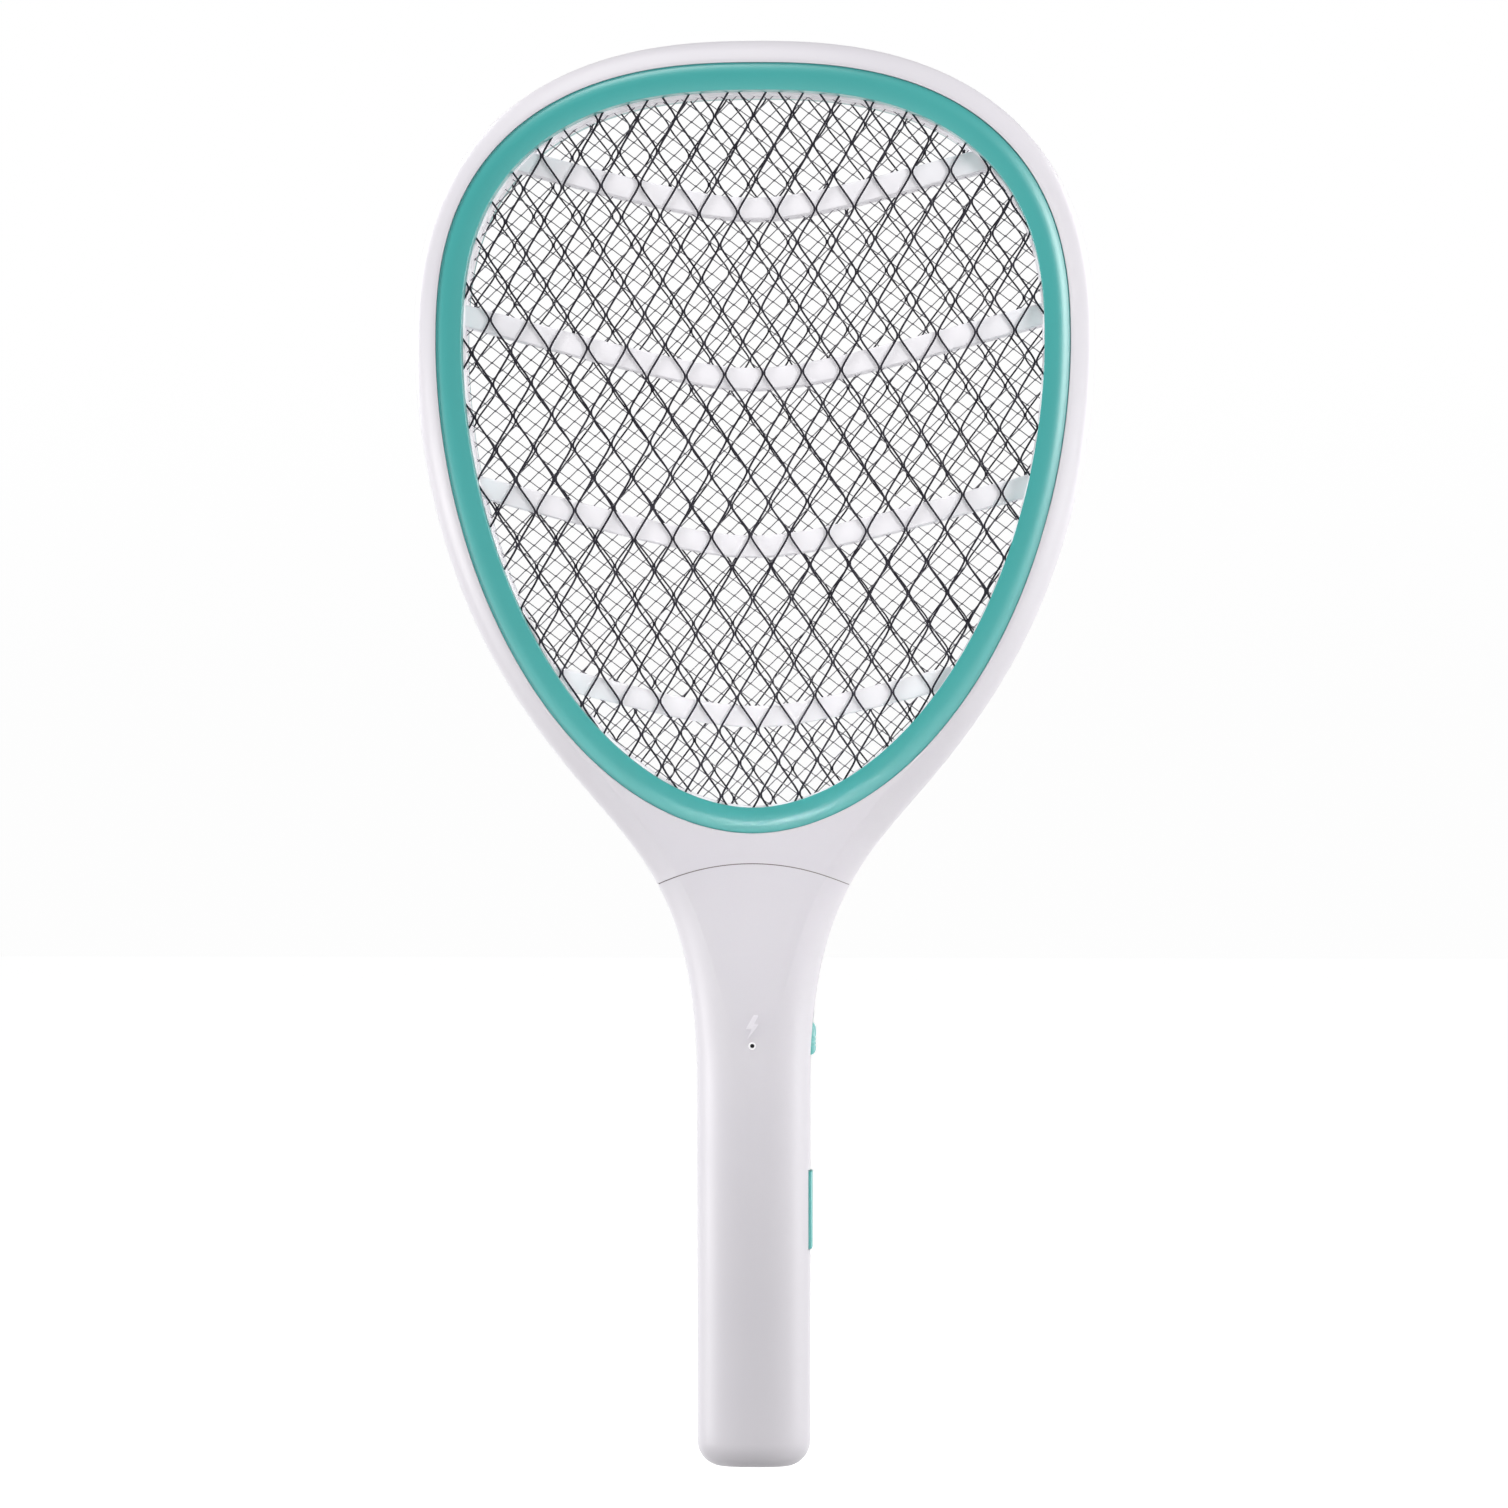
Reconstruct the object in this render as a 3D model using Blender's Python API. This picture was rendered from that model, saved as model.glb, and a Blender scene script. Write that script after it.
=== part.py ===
"""Electric fly swatter: a hoop head with three wire nets on a hollow battery handle.

Frame: +Z runs along the length with the handle's end at z = 0, X runs across the head,
and the front faces -Y. Units are metres.

Run with: blender --background --python part.py
"""
import math

import bmesh
import bpy
from mathutils import Vector

MM = 0.001
GAP = 0.3 * MM

# Head, as superellipse outlines about the point x = 0, z = HEAD_Z. Each outline is
# (half width, height above HEAD_Z, exponent above, height below, exponent below).
HEAD_Z = 347.0 * MM
FRAME_OUTLINE = (105.1 * MM, 94.1 * MM, 2.43, 157.2 * MM, 1.92)
TRIM_OUTLINE = (97.8 * MM, 86.2 * MM, 2.5, 151.0 * MM, 1.93)
OPENING_OUTLINE = (89.8 * MM, 77.7 * MM, 2.55, 143.1 * MM, 1.9)
LOOP_POINTS = 64

# Layers of the head, as distances from the middle plane y = 0
FRAME_DEPTH = 12.6 * MM
TRIM_DEPTH = 13.0 * MM
TRIM_BACK = 7.1 * MM
TRIM_WALL = 1.6 * MM
SAFETY_NET_MIDDLE = 6.55 * MM
RIB_FRAME_OUTER = 6.0 * MM
RIB_FRAME_INNER = 0.55 * MM
NET_THICKNESS = 0.5 * MM

# Cross ribs: centre heights at x = 0, and the hyperbola that bends them upwards
RIB_HEIGHTS = (232.0 * MM, 284.6 * MM, 336.4 * MM, 389.0 * MM)
RIB_HALF_WIDTH = 3.3 * MM
RIB_SLOPE = 0.28
RIB_BEND = 21.0 * MM

# Stand-in nets: (pitch across, pitch along, strand width). The safety nets are 1.2 times the real
# 12 by 20 mm mesh, and the high-voltage net is much coarser than the real one.
SAFETY_MESH = (14.4 * MM, 24.0 * MM, 0.7 * MM)
INNER_MESH = (36.0 * MM, 60.0 * MM, 1.6 * MM)
NET_TILT = math.radians(2.2)
HOLE_MARGIN = 2.0 * MM
TERMINAL_HALF_WIDTH = 1.6 * MM
TERMINAL_BOTTOM = 190.0 * MM
SIDE_TERMINAL_X = 6.0 * MM

# Handle
HANDLE_HALF_WIDTH = 17.5 * MM
HANDLE_HALF_DEPTH = 13.0 * MM
HANDLE_END_RADIUS = 8.0 * MM
HANDLE_TOP = 195.0 * MM
WALL = 1.8 * MM
FLARE_START = 244.0 * MM
FLARE_END = 116.0 * MM
FLARE_UPPER_REACH = 62.0 * MM
FLARE_LOWER_REACH = 78.0 * MM
GRIP_EXPONENT = 2.4
THROAT_EXPONENT = 4.4
SEAM_APEX = 186.5 * MM
SEAM_RADIUS = 70.0 * MM
DOOR_TOP = 64.0 * MM
SECTION_POINTS = 13

# Channel through the throat for the three net leads
CHANNEL_HALF_WIDTH = 9.0 * MM
CHANNEL_HALF_DEPTH = 8.0 * MM

# Controls on the +X side: (lowest z, highest z)
BUTTON_SPAN = (67.3 * MM, 91.5 * MM)
BUTTON_HALF_DEPTH = 4.0 * MM
BUTTON_TIP = 18.2 * MM
BUTTON_TRAVEL = 1.2 * MM
KNOB_SPAN = (127.1 * MM, 137.6 * MM)
KNOB_HALF_DEPTH = 2.6 * MM
KNOB_TIP = 19.3 * MM
KNOB_TRAVEL = 3.0 * MM
LED_HEIGHT = 130.6 * MM
LED_HOLE_RADIUS = 0.65 * MM

# Circuit board
BOARD_HALF_WIDTH = 11.5 * MM
BOARD_SPAN = (66.0 * MM, 150.0 * MM)
BOARD_FRONT = -3.6 * MM
BOARD_REAR = -2.0 * MM
PART_SEAT = BOARD_REAR + GAP

# Batteries
CELL_RADIUS = 7.25 * MM
CELL_LENGTH = 50.5 * MM
CELL_NUB_RADIUS = 2.7 * MM
CELL_NUB_HEIGHT = 1.2 * MM
CELL_X = 7.6 * MM
TRAY_HALF_WIDTH = 9.0 * MM
TRAY_SPAN = (4.2 * MM, 63.4 * MM)
SPRING_HEIGHT = 4.5 * MM

# Screws: places (x, z) seen from the front
HANDLE_SCREWS = ((-3.0 * MM, 98.0 * MM), (13.5 * MM, 168.0 * MM), (-13.5 * MM, 168.0 * MM))
THROAT_SCREWS = ((22.0 * MM, 191.5 * MM), (-22.0 * MM, 191.5 * MM))
HOOP_SCREW_HEIGHTS = (297.0 * MM, 388.0 * MM)
BIG_SCREW = (2.1 * MM, 1.0 * MM)
SMALL_SCREW = (1.6 * MM, 0.8 * MM)


def srgb(red, green, blue):
    """Turns an 8-bit sRGB colour into Blender's linear values."""
    values = [channel / 255 for channel in (red, green, blue)]
    linear = [v / 12.92 if v <= 0.04045 else ((v + 0.055) / 1.055) ** 2.4 for v in values]
    return (*linear, 1.0)


WHITE_PLASTIC = (srgb(232, 230, 235), 0.38, 0.0)
TEAL_PLASTIC = (srgb(70, 168, 160), 0.28, 0.0)
DARK_STEEL = (srgb(92, 90, 94), 0.45, 0.9)
LIGHT_STEEL = (srgb(170, 168, 172), 0.4, 0.9)
SPRING_STEEL = (srgb(190, 188, 185), 0.3, 1.0)
BOARD_GREEN = (srgb(40, 92, 58), 0.5, 0.0)
BLACK_PLASTIC = (srgb(32, 32, 34), 0.5, 0.0)
YELLOW_TAPE = (srgb(205, 170, 60), 0.45, 0.0)
RED_PLASTIC = (srgb(176, 52, 44), 0.4, 0.0)
TAN_CERAMIC = (srgb(196, 160, 118), 0.5, 0.0)
CELL_SLEEVE = (srgb(60, 62, 70), 0.35, 0.2)
LED_LENS = (srgb(150, 40, 36), 0.15, 0.0)


def clear_scene():
    for obj in list(bpy.data.objects):
        bpy.data.objects.remove(obj, do_unlink=True)


def paint(obj, look):
    """Gives the object its own Principled material from (colour, roughness, metallic)."""
    colour, roughness, metallic = look
    material = bpy.data.materials.new(obj.name)
    material.use_nodes = True
    shader = material.node_tree.nodes["Principled BSDF"]
    shader.inputs["Base Color"].default_value = colour
    shader.inputs["Roughness"].default_value = roughness
    shader.inputs["Metallic"].default_value = metallic
    material.diffuse_color = colour
    obj.data.materials.clear()
    obj.data.materials.append(material)


def new_object(name, points, faces, look=None):
    mesh = bpy.data.meshes.new(name)
    mesh.from_pydata([tuple(p) for p in points], [], faces)
    work = bmesh.new()
    work.from_mesh(mesh)
    bmesh.ops.recalc_face_normals(work, faces=work.faces)
    work.to_mesh(mesh)
    work.free()
    mesh.set_sharp_from_angle(angle=math.radians(35))
    obj = bpy.data.objects.new(name, mesh)
    bpy.context.collection.objects.link(obj)
    if look:
        paint(obj, look)
    return obj


# ---- outlines -------------------------------------------------------------------------


def outline_loop(outline, count=LOOP_POINTS):
    """Closed loop of (x, z) points around a head outline, evenly spaced by angle."""
    half_width, up, up_power, down, down_power = outline
    loop = []
    for step in range(count):
        angle = 2 * math.pi * step / count
        across, along = math.cos(angle), math.sin(angle)
        height, power = (up, up_power) if along >= 0 else (down, down_power)
        x = math.copysign(half_width * abs(across) ** (2 / power), across)
        z = math.copysign(height * abs(along) ** (2 / power), along)
        loop.append((x, HEAD_Z + z))
    return loop


def outline_half_width(outline, z):
    half_width, up, up_power, down, down_power = outline
    height, power = (up, up_power) if z >= HEAD_Z else (down, down_power)
    rest = 1 - (abs(z - HEAD_Z) / height) ** power
    return half_width * max(rest, 0) ** (1 / power)


def shrunk(outline, distance):
    half_width, up, up_power, down, down_power = outline
    return (half_width - distance, up - distance, up_power, down - distance, down_power)


def flare_curve(t):
    """Point (x, z) on the Bezier curve that leads the hoop's outline into the handle's side."""
    start = Vector((outline_half_width(FRAME_OUTLINE, FLARE_START), FLARE_START))
    above = Vector((outline_half_width(FRAME_OUTLINE, FLARE_START + MM), FLARE_START + MM))
    end = Vector((HANDLE_HALF_WIDTH, FLARE_END))
    first = start + (start - above).normalized() * FLARE_UPPER_REACH
    second = end + Vector((0, FLARE_LOWER_REACH))
    s = 1 - t
    return start * s ** 3 + first * 3 * s * s * t + second * 3 * s * t * t + end * t ** 3


def silhouette_half_width(z):
    """Half width of the whole swatter's front outline at a height z below the head's middle."""
    if z >= FLARE_START:
        return outline_half_width(FRAME_OUTLINE, z)
    if z > FLARE_END:
        low, high = 0.0, 1.0
        for _ in range(30):
            middle = (low + high) / 2
            if flare_curve(middle).y > z:
                low = middle
            else:
                high = middle
        return flare_curve(low).x
    return HANDLE_HALF_WIDTH - end_rounding(z)


def end_rounding(z):
    """How far the handle's rounded end pulls its surface in at height z."""
    if z >= HANDLE_END_RADIUS:
        return 0.0
    rise = HANDLE_END_RADIUS - z
    return HANDLE_END_RADIUS - math.sqrt(HANDLE_END_RADIUS ** 2 - rise ** 2)


def seam_height(x, lift=0.0):
    """Height of the arc-shaped seam between head and handle."""
    return SEAM_APEX + lift - SEAM_RADIUS + math.sqrt(SEAM_RADIUS ** 2 - x ** 2)


def seam_corner(lift=0.0):
    """Where the seam arc meets the outline on the +X side."""
    x = 30 * MM
    for _ in range(20):
        x = silhouette_half_width(seam_height(x, lift))
    return x


def frame_loop():
    """Outer loop of a head frame: hoop, flare and seam arc, as (x, z) points on both sides."""
    top_right = []
    for x, z in outline_loop(FRAME_OUTLINE):
        if x > 0.1 * MM and z > FLARE_START + 2 * MM:
            top_right.append((x, z))
    top_right.sort(key=lambda point: -point[1])
    corner_x = seam_corner(GAP)
    corner_z = seam_height(corner_x, GAP)
    flare = []
    for step in range(8):
        z = FLARE_START + (corner_z - FLARE_START) * step / 7
        flare.append((silhouette_half_width(z), z))
    seam = [(corner_x * (1 - step / 4), seam_height(corner_x * (1 - step / 4), GAP)) for step in (1, 2, 3)]
    right = top_right + flare + seam
    left = [(-x, z) for x, z in reversed(right)]
    top = (0.0, HEAD_Z + FRAME_OUTLINE[1])
    bottom = (0.0, seam_height(0.0, GAP))
    return [top] + right + [bottom] + left


def matched_loop(outer_loop, outline):
    """Points of an outline in the same directions from the head's middle as outer_loop's."""
    half_width, up, up_power, down, down_power = outline
    loop = []
    for x, z in outer_loop:
        angle = math.atan2(z - HEAD_Z, x)
        across, along = abs(math.cos(angle)), math.sin(angle)
        height, power = (up, up_power) if along >= 0 else (down, down_power)
        reach = ((across / half_width) ** power + (abs(along) / height) ** power) ** (-1 / power)
        loop.append((reach * math.cos(angle), HEAD_Z + reach * math.sin(angle)))
    return loop


def offset_loop(loop, distance):
    """Moves each point of a loop inwards by distance, towards the left of its edges' normals."""
    area = sum(a[0] * b[1] - b[0] * a[1] for a, b in zip(loop, loop[1:] + loop[:1]))
    turn = 1 if area > 0 else -1
    moved = []
    for index, point in enumerate(loop):
        before = Vector(loop[index - 1])
        after = Vector(loop[(index + 1) % len(loop)])
        along = (after - before).normalized()
        moved.append((point[0] - turn * along.y * distance, point[1] + turn * along.x * distance))
    return moved


# ---- solids ---------------------------------------------------------------------------


def ring(name, section, look=None):
    """Closed ring from a section: a list of (loop, y), each joined to the next and the last to the first."""
    count = len(section[0][0])
    points = [(x, y, z) for loop, y in section for x, z in loop]
    faces = []
    for row in range(len(section)):
        start = row * count
        following = (row + 1) % len(section) * count
        for i in range(count):
            j = (i + 1) % count
            faces.append((start + i, start + j, following + j, following + i))
    return new_object(name, points, faces, look)


def prism(name, loop, y_low, y_high, look=None):
    """Extrudes one (x, z) loop from y_low to y_high."""
    count = len(loop)
    points = [(x, y_low, z) for x, z in loop] + [(x, y_high, z) for x, z in loop]
    faces = [tuple(range(count)), tuple(range(2 * count - 1, count - 1, -1))]
    for i in range(count):
        j = (i + 1) % count
        faces.append((i, j, count + j, count + i))
    return new_object(name, points, faces, look)


def box(name, low, high, look=None):
    """Box between two corner points."""
    (x0, y0, z0), (x1, y1, z1) = low, high
    loop = [(x0, z0), (x1, z0), (x1, z1), (x0, z1)]
    return prism(name, loop, y0, y1, look)


def turned(name, profile, axis, place, look=None, sides=12):
    """Solid of revolution: profile is a list of (distance along axis, radius), closed at both ends."""
    points = []
    for along, radius in profile:
        for side in range(sides):
            angle = 2 * math.pi * side / sides
            first, second = radius * math.cos(angle), radius * math.sin(angle)
            offset = {"X": (along, first, second), "Y": (first, along, second), "Z": (first, second, along)}
            points.append(Vector(place) + Vector(offset[axis]))
    faces = [tuple(range(sides)), tuple(range(len(points) - sides, len(points)))]
    for row in range(len(profile) - 1):
        start = row * sides
        for i in range(sides):
            j = (i + 1) % sides
            faces.append((start + i, start + j, start + sides + j, start + sides + i))
    return new_object(name, points, faces, look)


def rod(name, axis, place, low, high, radius, look=None, sides=12):
    return turned(name, [(low, radius), (high, radius)], axis, place, look, sides)


def tube(name, route, radius, look):
    """Round tube along the route's points."""
    curve = bpy.data.curves.new(name, "CURVE")
    curve.dimensions = "3D"
    curve.bevel_depth = radius
    curve.bevel_resolution = 1
    curve.use_fill_caps = True
    curve.render_resolution_u = 0
    spline = curve.splines.new("POLY")
    spline.points.add(len(route) - 1)
    for point, place in zip(spline.points, route):
        point.co = (*place, 1.0)
    obj = bpy.data.objects.new(name, curve)
    bpy.context.collection.objects.link(obj)
    paint(obj, look)
    return obj


def combine(obj, others, operation):
    """Applies a Boolean with each of the other objects in turn and removes them."""
    for other in others:
        modifier = obj.modifiers.new("combine", "BOOLEAN")
        modifier.operation = operation
        modifier.solver = "EXACT"
        modifier.object = other
        bpy.context.view_layer.update()
        shape = obj.evaluated_get(bpy.context.evaluated_depsgraph_get())
        mesh = bpy.data.meshes.new_from_object(shape)
        obj.modifiers.clear()
        obj.data = mesh
        bpy.data.objects.remove(other, do_unlink=True)
    obj.data.set_sharp_from_angle(angle=math.radians(35))
    return obj


def cut(obj, *cutters):
    return combine(obj, cutters, "DIFFERENCE")


def join(obj, *pieces):
    return combine(obj, pieces, "UNION")


# ---- head -----------------------------------------------------------------------------


def hoop_screw_places():
    """Screw places in the middle of the hoop's wall."""
    places = []
    for z in HOOP_SCREW_HEIGHTS:
        outer = outline_half_width(FRAME_OUTLINE, z)
        inner = outline_half_width(TRIM_OUTLINE, z)
        for side in (1, -1):
            places.append((side * (outer + inner) / 2, z))
    return places


def head_frame(name, side):
    """Half of the hoop with its share of the throat; side is -1 for the front and 1 for the rear."""
    outer = frame_loop()
    inner = matched_loop(outer, shrunk(TRIM_OUTLINE, -GAP))
    section = [
        (outer, side * GAP / 2),
        (outer, side * (FRAME_DEPTH - 3.5 * MM)),
        (offset_loop(outer, 0.8 * MM), side * (FRAME_DEPTH - 1.1 * MM)),
        (offset_loop(outer, 2.4 * MM), side * FRAME_DEPTH),
        (inner, side * FRAME_DEPTH),
        (inner, side * GAP / 2),
    ]
    frame = ring(name, section, WHITE_PLASTIC)
    low_y, high_y = sorted((-side * MM, side * CHANNEL_HALF_DEPTH))
    channel = box("channel", (-CHANNEL_HALF_WIDTH, low_y, 175 * MM), (CHANNEL_HALF_WIDTH, high_y, 199 * MM))
    cut(frame, channel)
    for x, z in THROAT_SCREWS:
        cut(frame, *screw_holes(side, x, z, BIG_SCREW, 7.0 * MM))
    for x, z in hoop_screw_places():
        cut(frame, *screw_holes(side, x, z, SMALL_SCREW, 7.0 * MM))
    return frame


def screw_holes(side, x, z, screw, seat):
    """Cutters for one screw: counterbore and clearance in the rear half, blind pilot in the front half."""
    head, shank = screw
    if side < 0:
        return [rod("pilot", "Y", (x, 0, z), -8.2 * MM, MM, shank + 0.15 * MM, sides=10)]
    counterbore = rod("counterbore", "Y", (x, 0, z), seat, 14 * MM, head + 0.3 * MM, sides=12)
    clearance = rod("clearance", "Y", (x, 0, z), -MM, seat + MM, shank + 0.3 * MM, sides=10)
    return [counterbore, clearance]


def screw(name, x, z, sizes, seat):
    """Pan-head self-tapping screw driven in from the rear along -Y."""
    head, shank = sizes
    profile = [
        (-7.6 * MM, 0.2 * MM),
        (-6.4 * MM, shank),
        (seat + GAP, shank),
        (seat + GAP, head),
        (seat + GAP + 0.9 * MM, head),
        (seat + GAP + 1.6 * MM, 0.6 * head),
    ]
    return turned(name, profile, "Y", (x, 0, z), SPRING_STEEL, sides=10)


def trim_ring(name, side):
    """Teal ring, hollow behind, with a rounded outer edge, that holds a safety net down."""
    outer = outline_loop(TRIM_OUTLINE)
    inner = outline_loop(OPENING_OUTLINE)
    section = [
        (outer, side * TRIM_BACK),
        (outer, side * (TRIM_DEPTH - 2.2 * MM)),
        (offset_loop(outer, 0.8 * MM), side * (TRIM_DEPTH - 0.7 * MM)),
        (offset_loop(outer, 2.4 * MM), side * TRIM_DEPTH),
        (offset_loop(inner, -0.6 * MM), side * TRIM_DEPTH),
        (inner, side * (TRIM_DEPTH - 0.6 * MM)),
        (inner, side * TRIM_BACK),
        (offset_loop(inner, -TRIM_WALL), side * TRIM_BACK),
        (offset_loop(inner, -TRIM_WALL), side * (TRIM_DEPTH - TRIM_WALL)),
        (offset_loop(outer, TRIM_WALL + MM), side * (TRIM_DEPTH - TRIM_WALL)),
        (offset_loop(outer, TRIM_WALL), side * TRIM_BACK),
    ]
    return ring(name, section, TEAL_PLASTIC)


def rib_centre(x, height):
    return height + RIB_SLOPE * (math.sqrt(x * x + RIB_BEND ** 2) - RIB_BEND)


def rib(height, y_low, y_high):
    """One U-shaped cross rib whose ends run into the hoop."""
    reach = 60 * MM
    for _ in range(20):
        reach = outline_half_width(OPENING_OUTLINE, rib_centre(reach, height)) + 2.5 * MM
    xs = [reach * step / 6 for step in range(-6, 7)]
    upper = [(x, rib_centre(x, height) + RIB_HALF_WIDTH) for x in xs]
    lower = [(x, rib_centre(x, height) - RIB_HALF_WIDTH) for x in reversed(xs)]
    return prism("rib", upper + lower, y_low, y_high)


def rib_frame(name, side):
    """Hoop with four cross ribs that keeps a safety net away from the high-voltage net."""
    outer = outline_loop(TRIM_OUTLINE)
    inner = outline_loop(OPENING_OUTLINE)
    section = [
        (outer, side * RIB_FRAME_INNER),
        (outer, side * RIB_FRAME_OUTER),
        (inner, side * RIB_FRAME_OUTER),
        (inner, side * RIB_FRAME_INNER),
    ]
    frame = ring(name, section, WHITE_PLASTIC)
    y_low, y_high = sorted((side * (RIB_FRAME_INNER + 0.4 * MM), side * (RIB_FRAME_OUTER - 0.4 * MM)))
    return join(frame, *[rib(height, y_low, y_high) for height in RIB_HEIGHTS])


def diamond_holes(mesh_size, limit, y_low, y_high):
    """Every diamond hole of a net inside the limit outline, as one cutter."""
    pitch_x, pitch_z, strand = mesh_size
    half_x, half_z = pitch_x / 2, pitch_z / 2
    diagonal = math.hypot(half_x, half_z)
    hole_x = half_x - strand / 2 * diagonal / half_z
    hole_z = half_z - strand / 2 * diagonal / half_x
    columns = math.ceil(limit[0] / pitch_x) + 1
    rows = math.ceil(limit[3] / half_z) + 1
    tilt_x, tilt_z = math.cos(NET_TILT), math.sin(NET_TILT)
    points, faces = [], []
    for row in range(-rows, rows):
        for column in range(-columns, columns + 1):
            across = (column + 0.5 * (row % 2)) * pitch_x
            along = row * half_z
            x = across * tilt_x - along * tilt_z
            z = HEAD_Z + across * tilt_z + along * tilt_x
            corners = ((x + hole_x, z), (x - hole_x, z), (x, z + hole_z), (x, z - hole_z), (x, z))
            if not any(abs(a) < outline_half_width(limit, b) - HOLE_MARGIN for a, b in corners):
                continue
            first = len(points)
            for y in (y_low, y_high):
                for dx, dz in ((hole_x, 0), (0, hole_z), (-hole_x, 0), (0, -hole_z)):
                    points.append((x + dx * tilt_x - dz * tilt_z, y, z + dx * tilt_z + dz * tilt_x))
            faces.append((first, first + 1, first + 2, first + 3))
            faces.append((first + 7, first + 6, first + 5, first + 4))
            for i in range(4):
                j = (i + 1) % 4
                faces.append((first + i, first + j, first + 4 + j, first + 4 + i))
    return new_object("holes", points, faces)


def net(name, middle, terminal_x, mesh_size, look):
    """Flat plate with diamond holes and a solder terminal that reaches down into the throat."""
    y_low, y_high = middle - NET_THICKNESS / 2, middle + NET_THICKNESS / 2
    plate = prism(name, outline_loop(shrunk(TRIM_OUTLINE, 1.5 * MM)), y_low, y_high, look)
    terminal_low = (terminal_x - TERMINAL_HALF_WIDTH, y_low, TERMINAL_BOTTOM)
    terminal_high = (terminal_x + TERMINAL_HALF_WIDTH, y_high, TERMINAL_BOTTOM + 11 * MM)
    join(plate, box("terminal", terminal_low, terminal_high))
    limit = shrunk(OPENING_OUTLINE, -1.0 * MM)
    holes = diamond_holes(mesh_size, limit, y_low - MM, y_high + MM)
    inside = prism("inside", outline_loop(limit), y_low - 0.5 * MM, y_high + 0.5 * MM)
    combine(holes, [inside], "INTERSECT")
    return cut(plate, holes)


# ---- handle ---------------------------------------------------------------------------


def section_exponent(z):
    """Squareness of the handle's section, which grows towards the throat."""
    blend = min(max((z - 120 * MM) / (60 * MM), 0), 1)
    return GRIP_EXPONENT + (THROAT_EXPONENT - GRIP_EXPONENT) * blend


def half_body(name, side, heights, inset, overshoot, look=None):
    """Solid half of the handle between the first and the last height, inset from its surface."""
    rows = []
    for height in heights:
        surface_z = max(height, 0)
        half_width = silhouette_half_width(surface_z) - inset
        half_depth = HANDLE_HALF_DEPTH - end_rounding(surface_z) - inset
        power = 2 / section_exponent(surface_z)
        row = [(half_width, -side * overshoot, height)] if overshoot > 0 else []
        for step in range(SECTION_POINTS):
            angle = math.pi * step / (SECTION_POINTS - 1)
            across = math.copysign(abs(math.cos(angle)) ** power, math.cos(angle))
            out = abs(math.sin(angle)) ** power if 0 < step < SECTION_POINTS - 1 else 0
            row.append((half_width * across, side * (GAP / 2 + (half_depth - GAP / 2) * out), height))
        if overshoot > 0:
            row.append((-half_width, -side * overshoot, height))
        rows.append(row)
    count = len(rows[0])
    points = [point for row in rows for point in row]
    faces = [tuple(range(count)), tuple(range(len(points) - count, len(points)))]
    for level in range(len(rows) - 1):
        start = level * count
        for i in range(count):
            j = (i + 1) % count
            faces.append((start + i, start + j, start + count + j, start + count + i))
    return new_object(name, points, faces, look)


def shell_heights(low, high):
    """Heights for a lofted stretch of the handle, closer together where it curves."""
    levels = [0.0, 0.6, 1.8, 4.0, 8.0, 116.0, 128.0, 140.0, 150.0, 160.0, 170.0, 178.0, 186.0, 195.0]
    inner = [level * MM for level in levels if low + 0.5 * MM < level * MM < high - 0.5 * MM]
    return [low] + inner + [high]


def handle_shell(name, side, low, high, end_wall):
    """Hollow half of the handle from low to high, with or without a closed lower end."""
    shell = half_body(name, side, shell_heights(low, high), 0.0, 0.0, WHITE_PLASTIC)
    floor = low + WALL if end_wall else low - MM
    cavity = half_body("cavity", side, shell_heights(floor, high + MM), WALL, MM)
    return cut(shell, cavity)


def seam_cutter():
    """Block above the arc-shaped seam."""
    xs = [(-45 + 7.5 * step) * MM for step in range(13)]
    arc = [(x, seam_height(x)) for x in xs]
    return prism("above_seam", arc + [(45 * MM, 240 * MM), (-45 * MM, 240 * MM)], -30 * MM, 30 * MM)


def control_slots():
    """Slots in the +X side for the push button and the slide knob."""
    button = box(
        "button_slot",
        (13.5 * MM, -BUTTON_HALF_DEPTH - GAP, BUTTON_SPAN[0] - GAP),
        (25 * MM, BUTTON_HALF_DEPTH + GAP, BUTTON_SPAN[1] + GAP),
    )
    knob = box(
        "knob_slot",
        (13.5 * MM, -KNOB_HALF_DEPTH - GAP, KNOB_SPAN[0] - GAP),
        (25 * MM, KNOB_HALF_DEPTH + GAP, KNOB_SPAN[1] + KNOB_TRAVEL + GAP),
    )
    return [button, knob]


def handle_covers():
    """Front cover over the full length, rear cover above the battery door, and the door."""
    front = handle_shell("handle_front_cover", -1, 0.0, HANDLE_TOP, True)
    rear = handle_shell("handle_rear_cover", 1, DOOR_TOP + GAP, HANDLE_TOP, False)
    handle_shell("battery_door", 1, 0.0, DOOR_TOP, True)
    for x, z in HANDLE_SCREWS:
        join(front, rod("boss", "Y", (x, 0, z), -HANDLE_HALF_DEPTH + WALL / 2, -GAP, 2.5 * MM))
        join(rear, rod("boss", "Y", (x, 0, z), GAP, HANDLE_HALF_DEPTH - WALL / 2, 3.4 * MM))
        cut(front, *screw_holes(-1, x, z, BIG_SCREW, 4.0 * MM))
        cut(rear, *screw_holes(1, x, z, BIG_SCREW, 4.0 * MM))
    for cover in (front, rear):
        cut(cover, seam_cutter(), *control_slots())
    cut(front, rod("led_hole", "Y", (0, 0, LED_HEIGHT), -16 * MM, -9 * MM, LED_HOLE_RADIUS, sides=16))


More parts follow.
